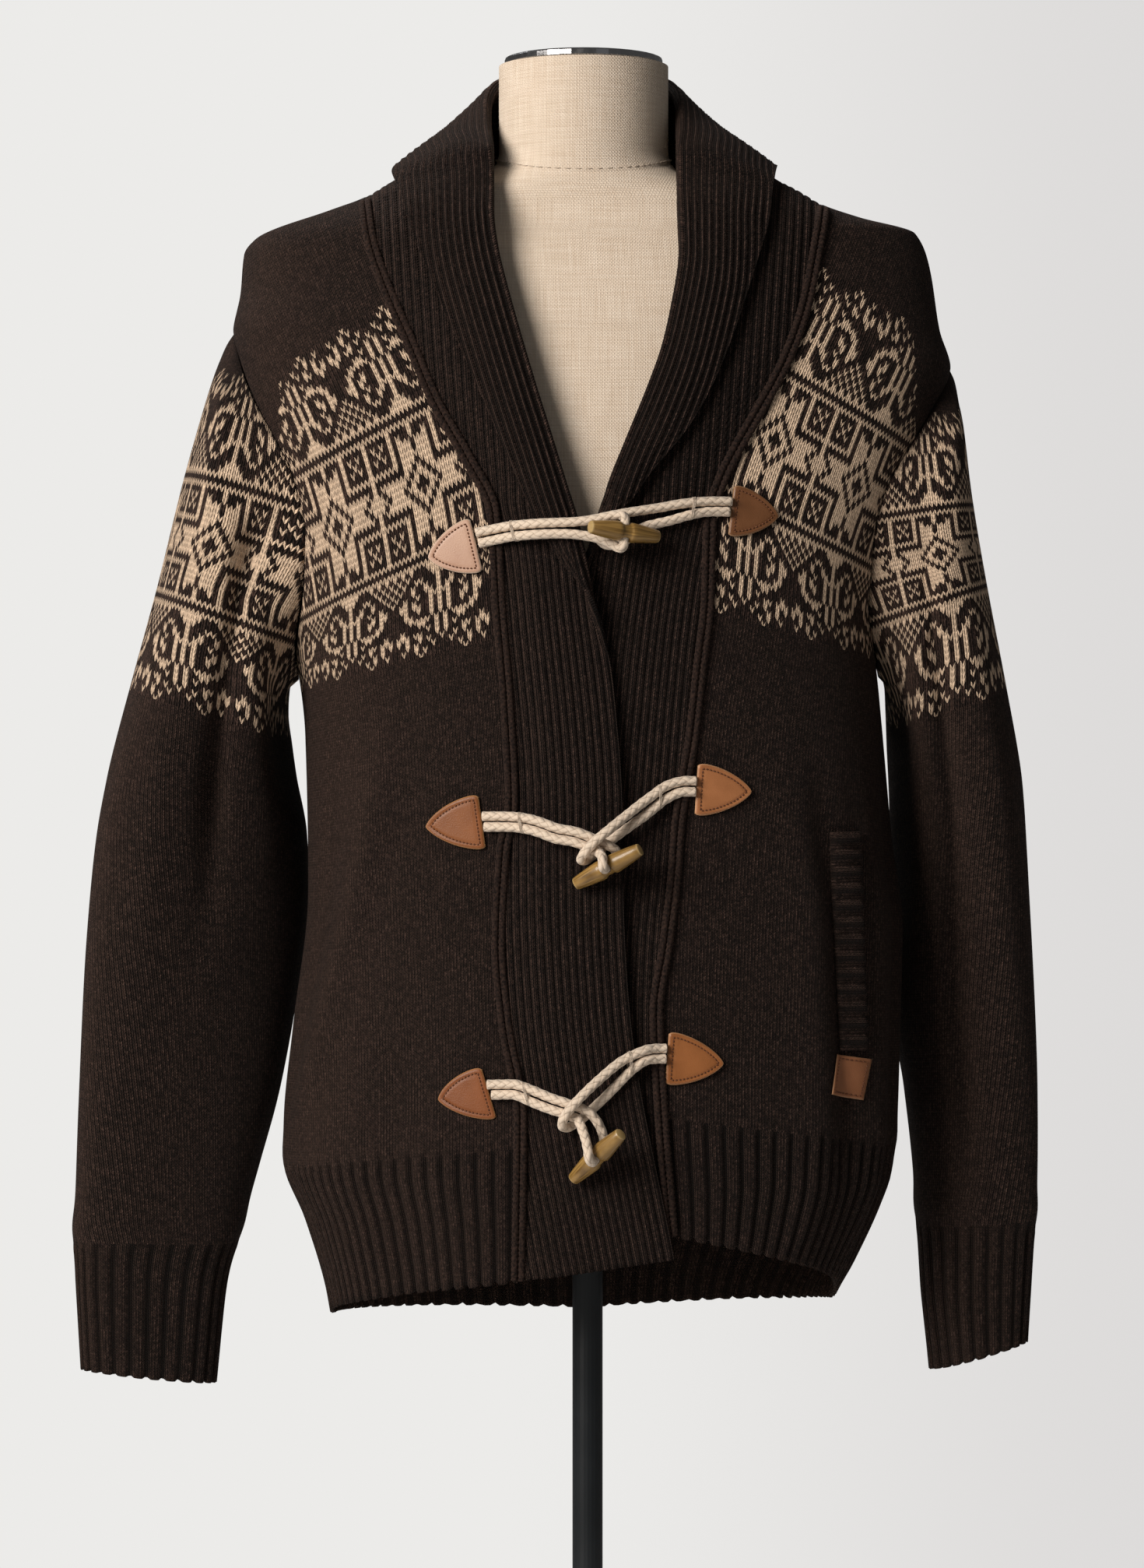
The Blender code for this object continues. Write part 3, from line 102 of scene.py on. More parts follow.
scene = bpy.context.scene
scene.view_settings.view_transform = "Standard"
camera_data = bpy.data.cameras.new("camera")
camera_data.sensor_width, camera_data.lens = 36.0, 109.44
camera_data.clip_start, camera_data.clip_end = 0.1, 60.0
camera = bpy.data.objects.new("camera", camera_data)
camera.location = (-0.0098, -3.0, 0.92)
camera.rotation_euler = (math.pi / 2, 0.0, 0.0)
scene.collection.objects.link(camera)
scene.camera = camera

for lamp in LAMPS:
    light = bpy.data.lights.new(lamp.name, "AREA")
    light.shape, light.size, light.energy = "DISK", lamp.size, lamp.power
    light.color = linear(lamp.colour)[:3]
    thing = bpy.data.objects.new(lamp.name, light)
    thing.location = lamp.place
    way = Vector(lamp.aim) - Vector(lamp.place)
    thing.rotation_euler = way.to_track_quat("-Z", "Y").to_euler()
    scene.collection.objects.link(thing)

# what the lens sees behind the paper is as pale as the paper, and lights the object less
world = bpy.data.worlds.new("pale room")
world.use_nodes = True
scene.world = world
tree = world.node_tree
tree.nodes.clear()
seen = add(tree, "LightPath").outputs["Is Camera Ray"]
across = add(tree, "SeparateXYZ", (add(tree, "TexCoord").outputs["Generated"],))
# painted shade: the backdrop that the lens sees is darker towards the right, where less light falls
painted_falloff = add(tree, "MapRange", (across, -0.02, 0.13, 0.0, 1.0), interpolation_type="SMOOTHSTEP")
paper_with_painted_shade = add(tree, "Mix", {0: painted_falloff, 6: linear("#ecebe9"), 7: linear("#dddbda")},
                  data_type="RGBA")
pale = add(tree, "Background", {"Color": paper_with_painted_shade, "Strength": 1.0})
dim = add(tree, "Background", {"Color": linear("#f4f1ee"), "Strength": 0.11})
mixed = add(tree, "MixShader", (seen, dim, pale))
add(tree, "OutputWorld", {"Surface": mixed})

# matt paper: it fades out beyond the object's own shadow
bpy.ops.object.select_all(action="DESELECT")
bpy.ops.mesh.primitive_circle_add(vertices=96, radius=2.4, fill_type="NGON", location=(0, 0, 0))
floor = bpy.context.object
floor.name = "paper_floor"
paper, tree, shader = material("matt paper")
feed(shader, {"Base Color": linear("#efeeed"), "Roughness": 0.9})
place = add(tree, "TexCoord").outputs["Object"]
away = add(tree, "VectorMath", (place,), "LENGTH").outputs["Value"]
fade = add(tree, "MapRange", (away, 1.0, 2.3, 0.0, 1.0), interpolation_type="SMOOTHSTEP")
clear = add(tree, "BsdfTransparent")
faded = add(tree, "MixShader", (fade, shader, clear))
feed(tree.nodes["Material Output"], {"Surface": faded})
floor.data.materials.append(paper)

# ---------------------------------------------------------------- the knitted back and fronts
# Lambswool knitted flat in stocking stitch from the ribbed hem up, the fronts with a stranded band
# across the yoke. Side and shoulder seams are linked; the cloth hangs from the form's shoulders.
WALL = 0.0026            # thickness of the knit
RIGHT, LEFT = -1, 1      # the wearer's sides
ARMPIT, TIP = 13, 24     # courses up a panel where the armhole begins, and its top
BACK_NECK = 18           # course at which the back reaches its neckline
NECK_TURNS = TIP - BACK_NECK
HEM_COURSES = 3          # courses of the panel that the ribbed hem takes
SQUARE = 0.055           # how far the body's rings bulge at their corners
WALE, ROW = 0.00215, 0.0017    # width and height of a stitch
HEM_RIBS = {"front": 24, "back": 46}   # ribs of the hem, four stitches and a sunken one each

Width = namedtuple("Width", "height half")
Depth = namedtuple("Depth", "height front back")
Course = namedtuple("Course", "course seam side")
Back = namedtuple("Back", "course height")
Line = namedtuple("Line", "height x")
Armhole = namedtuple("Armhole", "course turn")
Fold = namedtuple("Fold", "turn_low low turn_high high spread rise")
Level = namedtuple("Level", "height slope row wale_x", defaults=(None,))

# half width of the body at each height, which is its outline from the front
WIDTHS = {
    RIGHT: table(Width,
        (0.56, 0.155), (0.59, 0.1617), (0.607, 0.165), (0.648, 0.177), (0.684, 0.19),
        (0.705, 0.1905), (0.766, 0.185), (0.854, 0.1755), (0.95, 0.1775), (1.015, 0.186),
        (1.06, 0.195), (1.116, 0.211), (1.169, 0.2215), (1.203, 0.223), (1.229, 0.218),
        (1.253, 0.2156), (1.2615, 0.2097), (1.279, 0.1646), (1.289, 0.1396), (1.31, 0.1)),
    LEFT: table(Width,
        (0.56, 0.143), (0.596, 0.1524), (0.621, 0.1666), (0.657, 0.1838), (0.677, 0.1906),
        (0.719, 0.195), (0.762, 0.196), (0.832, 0.1975), (0.888, 0.1906), (0.972, 0.184),
        (1.02, 0.18), (1.06, 0.19), (1.116, 0.21), (1.15, 0.222), (1.18, 0.2283), (1.205, 0.221),
        (1.248, 0.214), (1.2655, 0.2063), (1.275, 0.174), (1.284, 0.1475), (1.31, 0.1)),
}

# depth of the body in front of and behind the side seams, which is its outline from the side
DEPTHS = table(Depth,
    (0.56, 0.106, 0.102), (0.6, 0.114, 0.106), (0.64, 0.121, 0.112), (0.69, 0.129, 0.119),
    (0.75, 0.129, 0.117), (0.85, 0.127, 0.114), (0.95, 0.128, 0.116), (1.05, 0.128, 0.121),
    (1.1, 0.123, 0.122), (1.15, 0.114, 0.119), (1.2, 0.1, 0.111), (1.24, 0.084, 0.101),
    (1.262, 0.073, 0.095), (1.285, 0.058, 0.086), (1.31, 0.046, 0.076))

# a course of knitting, at the front band's seam and at the side seam or armhole
COURSES = {
    RIGHT: table(Course,
        (0, 0.6194, 0.588), (3, 0.7, 0.675), (8, 0.88, 0.84), (13, 1.0725, 0.985),
        (14, 1.0935, 1.012), (15, 1.115, 1.035), (16, 1.137, 1.06), (17, 1.1615, 1.085),
        (18, 1.1865, 1.109), (19, 1.212, 1.134), (20, 1.234, 1.157), (21, 1.255, 1.176),
        (22, 1.2715, 1.19), (23, 1.2835, 1.199), (24, 1.289, 1.2032)),
    LEFT: table(Course,
        (0, 0.6472, 0.598), (3, 0.7185, 0.685), (8, 0.892, 0.843), (13, 1.072, 0.987),
        (14, 1.095, 1.012), (15, 1.118, 1.034), (16, 1.141, 1.057), (17, 1.165, 1.08),
        (18, 1.189, 1.101), (19, 1.213, 1.122), (20, 1.234, 1.14), (21, 1.2525, 1.156),
        (22, 1.268, 1.1685), (23, 1.279, 1.1765), (24, 1.2841, 1.1802)),
}

# the same courses at the centre back, up to the back neckline
BACK_COURSES = table(Back, (0, 0.58), (3, 0.664), (8, 0.85), (13, 1.09), (18, 1.283))

# the seam between a front and its band and collar, from the hem to the shoulder
SEAMS = {
    RIGHT: table(Line,
        (0.619, -0.0423), (0.72, -0.0408), (0.775, -0.0498), (0.823, -0.054), (0.88, -0.0512),
        (0.907, -0.046), (0.97, -0.0488), (1.027, -0.0535), (1.084, -0.0573), (1.118, -0.0735),
        (1.152, -0.0926), (1.19, -0.1087), (1.226, -0.1242), (1.255, -0.1338), (1.289, -0.1396)),
    LEFT: table(Line,
        (0.647, 0.0499), (0.72, 0.044), (0.782, 0.041), (0.825, 0.0471), (0.865, 0.0518),
        (0.895, 0.054), (0.95, 0.0626), (0.994, 0.0675), (1.027, 0.0715), (1.081, 0.0735),
        (1.1035, 0.0803), (1.123, 0.0899), (1.145, 0.1025), (1.178, 0.1202), (1.213, 0.1328),
        (1.248, 0.1403), (1.2841, 0.1475)),
}

# degrees round from the centre front (or back) to the armhole's seam, course by course
ARMHOLES = {
    RIGHT: table(Armhole,
        (13, 90), (14, 73), (15, 64), (16, 59), (17, 55.8), (18, 56), (19, 59.8), (20, 65.3),
        (21, 71), (22, 77), (23, 83.5), (24, 90)),
    LEFT: table(Armhole,
        (13, 90), (14, 76), (15, 69), (16, 63.7), (17, 60), (18, 59.3), (19, 62), (20, 66),
        (21, 71), (22, 77), (23, 83.5), (24, 90)),
}

# soft folds of the body: where each runs, how far it spreads round, and how far it stands out
FOLD_STARTS, FOLD_FADES = 0.06, 0.12   # height over which each begins, and fades out above
FOLDS = table(Fold,
    (44, 0.64, 37, 0.98, 5.0, 0.0035), (51, 0.69, 44, 0.96, 3.2, -0.0045),
    (62, 0.66, 60, 0.96, 4.5, 0.0035), (73, 0.62, 76, 0.97, 5.5, -0.004),
    (-62, 0.73, -38, 0.98, 5.5, 0.005), (-75, 0.73, -51, 0.98, 6.0, -0.0035),
    (-38, 0.6, -34, 0.86, 9.0, -0.004), (128, 0.6, 140, 1.05, 9.0, 0.0045),
    (152, 0.6, 160, 0.92, 8.0, -0.004), (196, 0.6, 190, 0.98, 9.0, 0.004),
    (228, 0.6, 214, 1.06, 9.0, -0.004))


def smooth(knots, values, at):
    """A curve through a table's points that never overshoots them."""
    knots, values = np.asarray(knots, float), np.asarray(values, float)
    step = np.diff(knots)
    slope = np.diff(values) / step
    tangent = np.concatenate(([slope[0]], np.zeros(len(slope) - 1), [slope[-1]]))
    same = slope[:-1] * slope[1:] > 0
    safe = np.where(same, slope[:-1] + slope[1:], 1.0)
    tangent[1:-1] = np.where(same, 2 * slope[:-1] * slope[1:] / safe, 0.0)
    at = np.clip(at, knots[0], knots[-1])
    i = np.clip(np.searchsorted(knots, at, side="right") - 1, 0, len(step) - 1)
    u = (at - knots[i]) / step[i]
    return (values[i] * (1 + 2 * u) * (1 - u) ** 2 + values[i + 1] * (3 - 2 * u) * u ** 2
            + step[i] * (tangent[i] * u * (1 - u) ** 2 - tangent[i + 1] * u ** 2 * (1 - u)))


def look_up(rows, column, at):
    """A table's column, read smoothly at a value of its first column."""
    return smooth([row[0] for row in rows], [getattr(row, column) for row in rows], at)


def ease(x):
    """A soft step from 0 to 1."""
    x = np.clip(x, 0.0, 1.0)
    return x * x * (3 - 2 * x)


def unit(vector):
    """The same way, at length 1."""
    return vector / np.maximum(np.linalg.norm(vector, axis=-1, keepdims=True), 1e-12)


def run(points, axis=0):
    """How far along its path each point is."""
    steps = np.linalg.norm(np.diff(points, axis=axis), axis=-1)
    return np.concatenate((0 * steps.take([0], axis), np.cumsum(steps, axis=axis)), axis=axis)


def folds(turn, height):
    """How far the body's soft folds stand out there."""
    total = np.zeros(np.broadcast(turn, height).shape)
    for fold in FOLDS:
        way = (height - fold.low) / (fold.high - fold.low)
        middle = math.radians(fold.turn_low) + math.radians(fold.turn_high - fold.turn_low) * way
        away = np.angle(np.exp(1j * (turn - middle))) / math.radians(fold.spread)
        starts = ease((height - fold.low) / FOLD_STARTS + 0.6)
        ends = starts * ease((fold.high - height) / FOLD_FADES)
        total = total + fold.rise * ends * np.exp(-away ** 2)
    return total


def half_width(x, height):
    """Half the body's width at a height, on the side that x lies."""
    right, left = (look_up(WIDTHS[side], "half", height) for side in (RIGHT, LEFT))
    return np.where(np.asarray(x) < 0, right, left)


def ring(turn, height):
    """A point of the body's outer face, before it is lifted: turn runs from the centre front."""
    s, c = np.sin(turn), np.cos(turn)
    half = half_width(s, height)
    depth = np.where(c > 0, look_up(DEPTHS, "front", height), look_up(DEPTHS, "back", height))
    corner = 1 + SQUARE * np.sin(2 * turn) ** 2
    x, y, z = np.broadcast_arrays(half * s * corner, -depth * c * corner, height)
    return np.stack((x, y, z), axis=-1)


def outward(turn, height):
    """The way that the body faces there, before its folds."""
    d = 1e-4
    across = ring(turn + d, height) - ring(turn - d, height)
    return unit(np.cross(across, ring(turn, height + d) - ring(turn, height - d)))


def body(turn, height, lift=0.0):
    """A point of the body's outer face with its folds, moved out by lift."""
    turn, height = np.broadcast_arrays(np.asarray(turn, float), np.asarray(height, float))
    lifted = np.expand_dims(folds(turn, height) + lift, -1)
    return ring(turn, height) + outward(turn, height) * lifted


def front_turn(x, height):
    """The turn at which the front of the body reaches x."""
    half = half_width(x, height)
    turn = np.arcsin(np.clip(x / half, -1, 1))
    for _ in range(12):
        turn = np.arcsin(np.clip(x / half / (1 + SQUARE * np.sin(2 * turn) ** 2), -1, 1))
    return turn


def on_front(x, height, lift=0.0):
    """A point of the front of the body, from its place as seen from the front."""
    return body(front_turn(x, height), height, lift)


def armhole_turn(side, course, back):
    """The turn of the armhole, or of the side seam below it."""
    turn = np.radians(look_up(ARMHOLES[side], "turn", course))
    return side * (math.pi - turn if back else turn)


def seam_turn(side, course):
    """The turn of the seam between a front and its band."""
    height = look_up(COURSES[side], "seam", course)
    x = look_up(SEAMS[side], "x", height)
    return np.where(course >= TIP, side * math.pi / 2, front_turn(x, height))


def neckline(side, step):
    """Turn and height of the back neckline, step rows round from the shoulder."""
    shoulder = look_up(COURSES[side], "seam", TIP)
    centre = look_up(BACK_COURSES, "height", BACK_NECK)
    share = np.asarray(step, float) / NECK_TURNS
    return side * (1 + share) * math.pi / 2, shoulder + (centre - shoulder) * ease(share)


# lines of stitches across a front: each one's height at LEVEL_X from the middle, how steeply it
# falls towards the side, its row counted from the middle of the band, and where one wale crosses it
LEVELS = {
    RIGHT: table(Level,
        (0.56, 0.08, -326, 0.05), (0.7, 0.12, -243, 0.05), (0.85, 0.18, -155, 0.054),
        (0.96, 0.21, -90, 0.06), (1.002, 0.25, -66, 0.064), (1.0655, 0.45, -24, 0.07),
        (1.112, 0.49, 0, 0.078), (1.16, 0.5, 24, 0.09), (1.23, 0.58, 61, 0.115),
        (1.34, 0.6, 116, 0.155)),
    LEFT: table(Level,
        (0.56, 0.06, -338, 0.046), (0.7, 0.1, -256, 0.046), (0.85, 0.16, -168, 0.05),
        (0.96, 0.2, -103, 0.06), (1.023, 0.27, -66, 0.07), (1.0964, 0.454, -24, 0.078),
        (1.146, 0.52, 0, 0.092), (1.194, 0.55, 24, 0.107), (1.26, 0.58, 58, 0.132),
        (1.36, 0.6, 108, 0.165)),
}
LEVEL_X = 0.08


def level_of(side, x, height):
    """Height at LEVEL_X of the line of stitches that goes through a place."""
    level = np.array(height, float)
    for _ in range(8):
        level = height + look_up(LEVELS[side], "slope", level) * (np.abs(x) - LEVEL_X)
    return level


# lengths round the body from the centre front, at every degree and every centimetre of height
ARC_LOW, ARC_HIGH, ARC_STEP = 0.55, 1.33, 0.01
ARC_HEIGHTS = np.linspace(ARC_LOW, ARC_HIGH, 79)[:, None]
ARCS = {side: run(ring(side * np.linspace(0, math.pi, 181)[None, :], ARC_HEIGHTS), 1)
        for side in (RIGHT, LEFT)}


def arc(side, turn, height):
    """How far round the body a turn is from the centre front, in metres at that height."""
    t = np.clip(np.abs(turn) / math.pi * 180, 0, 179.999)
    h = np.clip((height - ARC_LOW) / ARC_STEP, 0, 77.999)
    i, j = h.astype(int), t.astype(int)
    a, b, lengths = h - i, t - j, ARCS[side]
    return ((lengths[i, j] * (1 - b) + lengths[i, j + 1] * b) * (1 - a)
            + (lengths[i + 1, j] * (1 - b) + lengths[i + 1, j + 1] * b) * a)


def grid_normals(grid, flip=1.0):
    """Unit normals at the points of a grid."""
    return unit(np.cross(np.gradient(grid, axis=1), np.gradient(grid, axis=0)) * flip)


def corners(grid):
    """The values at the four corners of each face of a grid."""
    return np.stack((grid[:-1, :-1], grid[:-1, 1:], grid[1:, 1:], grid[1:, :-1]), axis=2)


def walled(quads, count):
    """Closes a wall whose back's points come count after its front's: its faces, with those of
    its rim last, and the face and corner that each of the rim's begins at."""
    ends = np.roll(quads, -1, axis=1)
    face, edge = np.nonzero(~np.isin(quads * count + ends, ends * count + quads))
    a, b = quads[face, edge], ends[face, edge]
    rim = np.stack((b, a, a + count, b + count), axis=-1)
    return np.concatenate((quads, quads[:, ::-1] + count, rim)), face, edge


def solid(name, points, faces, maps, finish):
    """A smooth piece from its points and faces: maps holds each UV map's value at every corner."""
    mesh = bpy.data.meshes.new(name)
    mesh.from_pydata(points.tolist(), [], faces)
    for label, values in maps.items():
        mesh.uv_layers.new(name=label).data.foreach_set("uv", values.reshape(-1))
    mesh.shade_smooth()
    mesh.materials.append(finish)
    thing = bpy.data.objects.new(name, mesh)
    scene.collection.objects.link(thing)
    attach(thing, "root")
    return thing


# one part of a cloth: the points of its faces and there the count of stitches across and up and
# of ribs across and up, the stitches to each rib, how many of its first rows are ribbed, and
# which points of a banded piece are worked plain
Patch = namedtuple("Patch", "front back wale row rib rib_row each ribbed plain", defaults=(0.0,))
PAST_BAND = 400          # stitch rows added where a banded piece is plain


def cloth(name, patches, finish):
    """One closed piece of cloth from patches that are joined where their points meet."""
    fronts, backs, quads, maps, start = [], [], [], [], 0
    for patch in patches:
        grid, rows, columns = patch.front, *patch.front.shape[:2]
        quad = corners(np.arange(rows * columns).reshape(rows, columns))
        facing = np.cross(grid[:-1, 1:] - grid[:-1, :-1], grid[1:, :-1] - grid[:-1, :-1])
        if np.median(np.sum(facing * (grid - patch.back)[:-1, :-1], axis=-1)) <= 0:
            quad = quad[..., ::-1]
        values = np.dstack(np.broadcast_arrays(
            patch.wale, patch.row, patch.rib * patch.each, patch.rib_row, patch.rib, patch.plain))
        values = values.reshape(-1, 6)[quad]
        ribbed = (np.arange(rows - 1) < patch.ribbed)[:, None, None, None]
        counts = np.where(ribbed, values[..., 2:4], values[..., :2])
        counts[..., 1] += PAST_BAND * (values[..., 5].mean(axis=-1) > 0.5)[..., None]
        maps.append(np.concatenate((counts, values[..., 4:5], 0 * values[..., 4:5] + ribbed),
                                   axis=-1).reshape(-1, 4, 4))
        quads.append(quad.reshape(-1, 4) + start)
        fronts.append(grid.reshape(-1, 3))
        backs.append(patch.back.reshape(-1, 3))
        start += rows * columns
    fronts, backs, quads, maps = (np.concatenate(part) for part in (fronts, backs, quads, maps))
    _, first, same = np.unique(np.round(fronts * 1e6).astype(np.int64), axis=0, return_index=True,
                               return_inverse=True)
    faces, face, edge = walled(same.reshape(-1)[quads], len(first))
    rim_maps = maps[face[:, None], np.stack((edge + 1, edge, edge, edge + 1), axis=1) % 4]
    # half a rib further on, as the ribs inside lie behind the grooves outside
    inner_maps = maps[:, ::-1] + np.array((0.0, 0.0, 0.5, 0.0))
    maps = np.concatenate((maps, inner_maps, rim_maps))
    return solid(name, np.concatenate((fronts[first], backs[first])), faces.tolist(),
                 {"stitches": maps[..., :2], "ribs": maps[..., 2:]}, finish)


# Lambswool spun from fibres dyed dark brown and a few paler ones, so that the yarn is heathered,
# and knitted in V-shaped stitches, brushed up to a soft halo. The band is stranded with an undyed
# ecru yarn in a small repeat, drawn here as one half of one quarter of it: from the middle row up
# and from the line between two mirrored halves out, x for an ecru stitch.
BAND_CHART = (
    "xxx.xxx.xx..",
    "xx.xxxxx.xx.",
    "x.xxxxxxx.xx",
    "x.......xx.x",
    "xxxxxxx.xxx.",
    "x.....x.xxxx",
    "x.x.x.x.xxx.",
    "x..x..x.xxx.",
    "x.x.x.x.x..x",
    "x.....x....x",
    "xxxxxxxxxxxx",
    "............",
    "xxxxxxxxxxxx",
    ".x.x.x...xxx",
    "x.x.x.....xx",
    ".x.x..xx...x",
    "x.x..x..x..x",
    ".x...x..xx.x",
    "x..x..x..xxx",
    "..xx.x...x.x",
    "..xx.xx..x.x",
    "...x..x..x.x",
    "...xx....x.x",
    "....xxxxx.x.",
    "......xx..x.",
    "..x.....x.x.",
    ".xxx.xx...x.",
    ".x.x..x.x..x",
    "...x.x...x..",
    "..x..x.x....",
    "......x.....",
)
BAND_WALE, BAND_ROW = 0.734, 11 / 24   # stranded stitches to a plain one, across and up
BAND_HALF = 66.0         # plain rows from the middle of the band to its end
REPEAT_HALF, REPEAT_START = 11.0, 3.0  # stitches of half a repeat, and where a repeat begins
BROWN_SPREAD = (-0.16, 0.16)           # in rows


def knit(name, band):
    """Brushed lambswool on a piece: band says whether its stitches carry the stranded band."""
    made, tree, shader = material(name)
    split = add(tree, "SeparateXYZ", (add(tree, "UVMap", uv_map="stitches"),))
    wale, row = split.outputs[:2]
    rib, is_ribbed = add(tree, "SeparateXYZ", (add(tree, "UVMap", uv_map="ribs"),)).outputs[:2]
    if band:
        # the stranded stitches are drawn up longer and wider than the plain ones
        rows_off = add(tree, "Math", (row,), "ABSOLUTE")
        inside = add(tree, "Math", (rows_off, BAND_HALF), "LESS_THAN")
        unribbed = add(tree, "Math", (is_ribbed, -1.0, 1.0), "MULTIPLY_ADD")
        in_band = add(tree, "Math", (inside, unribbed), "MULTIPLY")
        wider = add(tree, "Mix", {0: in_band, 2: 1.0, 3: BAND_WALE}, data_type="FLOAT")
        longer = add(tree, "Mix", {0: in_band, 2: 1.0, 3: BAND_ROW}, data_type="FLOAT")
        centred = add(tree, "Math", (in_band, 0.9), "MULTIPLY")
        wale = add(tree, "Math", (wale, wider), "MULTIPLY")
        row = add(tree, "Math", (row, longer, centred), "MULTIPLY_ADD")
    # each stitch is two legs that spread upwards from their foot
    across = add(tree, "Math", (wale,), "FRACT")
    middle = add(tree, "Math", (across, 0.5), "SUBTRACT")
    spread = add(tree, "Math", (middle,), "ABSOLUTE")
    lifted = add(tree, "Math", (spread, -1.5, row), "MULTIPLY_ADD")
    leg_wave, stitch_wave, wale_wave, groove_wave = (
        add(tree, "Math", (add(tree, "Math", (count, turn), "MULTIPLY"),), "COSINE")
        for count, turn in ((wale, math.tau * 2), (lifted, math.tau), (wale, math.tau),
                            (rib, math.tau)))
    leg_height = add(tree, "Math", (leg_wave, -0.5, 0.5), "MULTIPLY_ADD")
    stitch_height = add(tree, "Math", (stitch_wave, -0.38, 0.62), "MULTIPLY_ADD")
    relief = add(tree, "Math", (leg_height, stitch_height), "MULTIPLY")
    # painted shade: darker down between one wale and the next
    between = add(tree, "MapRange", (wale_wave, 1.0, -0.3, 0.14, 1.0))
    place = add(tree, "TexCoord").outputs["Object"]
    fibres = add(tree, "TexNoise",
                 {"Vector": place, "Scale": 950.0, "Detail": 3.0, "Roughness": 0.7})
    blend = add(tree, "TexNoise",
                {"Vector": place, "Scale": 700.0, "Detail": 4.0, "Roughness": 0.75})
    wool = add(tree, "ValToRGB", (blend,))
    for stop, at, shade in zip(wool.color_ramp.elements, (0.34, 0.72), ("#0b0706", "#57433b")):
        stop.position, stop.color = at, linear(shade)
    if band:
        # which stitch of the half repeat this is, and its weight among the bits of its row's code:
        # a stop of the ramp is a row, its red holds stitches 0 to 7 and its green 8 to 11
        number = add(tree, "Math", (wale, REPEAT_START), "ADD")
        whole = add(tree, "Math", (number,), "FLOOR")
        column = add(tree, "Math", (whole, REPEAT_HALF), "PINGPONG")
        far = add(tree, "Math", (column, 7.5), "GREATER_THAN")
        bit = add(tree, "Math", (far, -8.0, column), "MULTIPLY_ADD")
        weight = add(tree, "Math", (2.0, bit), "POWER")
        pale_rows = []
        for off in BROWN_SPREAD:
            # the dark yarn spreads a little over the pale stitches above and below it
            moved = add(tree, "Math", (lifted, off), "ADD")
            line = add(tree, "Math", (moved,), "FLOOR")
            from_middle = add(tree, "Math", (line,), "ABSOLUTE")
            at = add(tree, "Math", (from_middle, 0.5), "ADD")
            share = add(tree, "Math", (at, 32.0), "DIVIDE")
            ramp = add(tree, "ValToRGB", (share,))
            ramp.color_ramp.interpolation = "CONSTANT"
            stops = ramp.color_ramp.elements
            stops.remove(stops[1])
            for count, marks in enumerate(BAND_CHART + ("." * 12,)):
                bits = [sum((mark == "x") << k for k, mark in enumerate(part)) / 255
                        for part in (marks[:8], marks[8:])]
                stop = stops.new(count / 32) if count else stops[0]
                stop.color = (*bits, 0.0, 1.0)
            codes = add(tree, "SeparateColor", (ramp,))
            chosen = add(tree, "Mix", {0: far, 2: codes.outputs[0], 3: codes.outputs[1]},
                         data_type="FLOAT")
            code = add(tree, "Math", (chosen, 255.0, 0.5), "MULTIPLY_ADD")
            shifted = add(tree, "Math", (code, weight), "DIVIDE")
            whole_code = add(tree, "Math", (shifted,), "FLOOR")
            pale_rows.append(add(tree, "Math", (whole_code, 2.0), "MODULO"))
        odd = add(tree, "Math", pale_rows, "MULTIPLY")
        ecru = add(tree, "ValToRGB", (blend,))
        for stop, shade in zip(ecru.color_ramp.elements, ("#cdae91", "#f3dabf")):
            stop.color = linear(shade)
        worked = add(tree, "Math", (odd, in_band), "MULTIPLY")
        wool = add(tree, "Mix", {0: worked, 6: wool, 7: ecru}, data_type="RGBA")
    # painted shade: it is darker between the legs, between stitches and down in the ribs' grooves,
    # where shade falls
    painted_hollow_shade = add(tree, "MapRange", (relief, 0.0, 0.55, 0.36, 1.0))
    deep = add(tree, "MapRange", (groove_wave, -1.0, 0.35, 0.05, 1.0),
               interpolation_type="SMOOTHSTEP")
    ribbed = add(tree, "Mix", {0: is_ribbed, 2: 1.0, 3: deep}, data_type="FLOAT")
    painted_stitch_shade = add(tree, "Math", (painted_hollow_shade, between), "MULTIPLY")
    dark = add(tree, "Math", (painted_stitch_shade, ribbed), "MULTIPLY")
    speck = add(tree, "MapRange", (fibres, 0.34, 0.68, 0.45, 1.65))
    # the yarn is uneven, so each stitch is a little lighter or darker than the next
    own = [add(tree, "Math", (count,), "FLOOR") for count in (wale, lifted)]
    cell = add(tree, "CombineXYZ", own)
    chance = add(tree, "TexWhiteNoise", {"Vector": cell}, noise_dimensions="2D")
    each = add(tree, "MapRange", {0: chance, 3: 0.35, 4: 1.85})
    speckled_tone = add(tree, "Math", (speck, each), "MULTIPLY")
    # the painted shade of the hollows, times the yarn's own speckle and uneven stitches
    darker = add(tree, "Math", (dark, speckled_tone), "MULTIPLY")
    if band:
        # on the pale yarn the painted shade of the hollows and the stitches' uneven tone are weaker
        softer_shade_and_tone = add(tree, "Math", (darker, 0.34, 0.84), "MULTIPLY_ADD")
        darker = add(tree, "Mix", {0: worked, 2: darker, 3: softer_shade_and_tone}, data_type="FLOAT")
    # the wool's colour with its painted shade and uneven tone multiplied in
    wool_with_painted_shade = add(tree, "Mix", {0: 1.0, 6: wool, 7: darker}, data_type="RGBA", blend_type="MULTIPLY")
    fuzz = add(tree, "Math", (fibres, 0.55, relief), "MULTIPLY_ADD")
    bump = add(tree, "Bump", {"Height": fuzz, "Strength": 1.0, "Distance": 0.0015})
    feed(shader, {"Base Color": wool_with_painted_shade, "Normal": bump, "Roughness": 0.95,
                  "Specular IOR Level": 0.2, "Sheen Weight": 0.22, "Sheen Roughness": 0.5,
                  "Sheen Tint": linear("#86695b")})
    return made


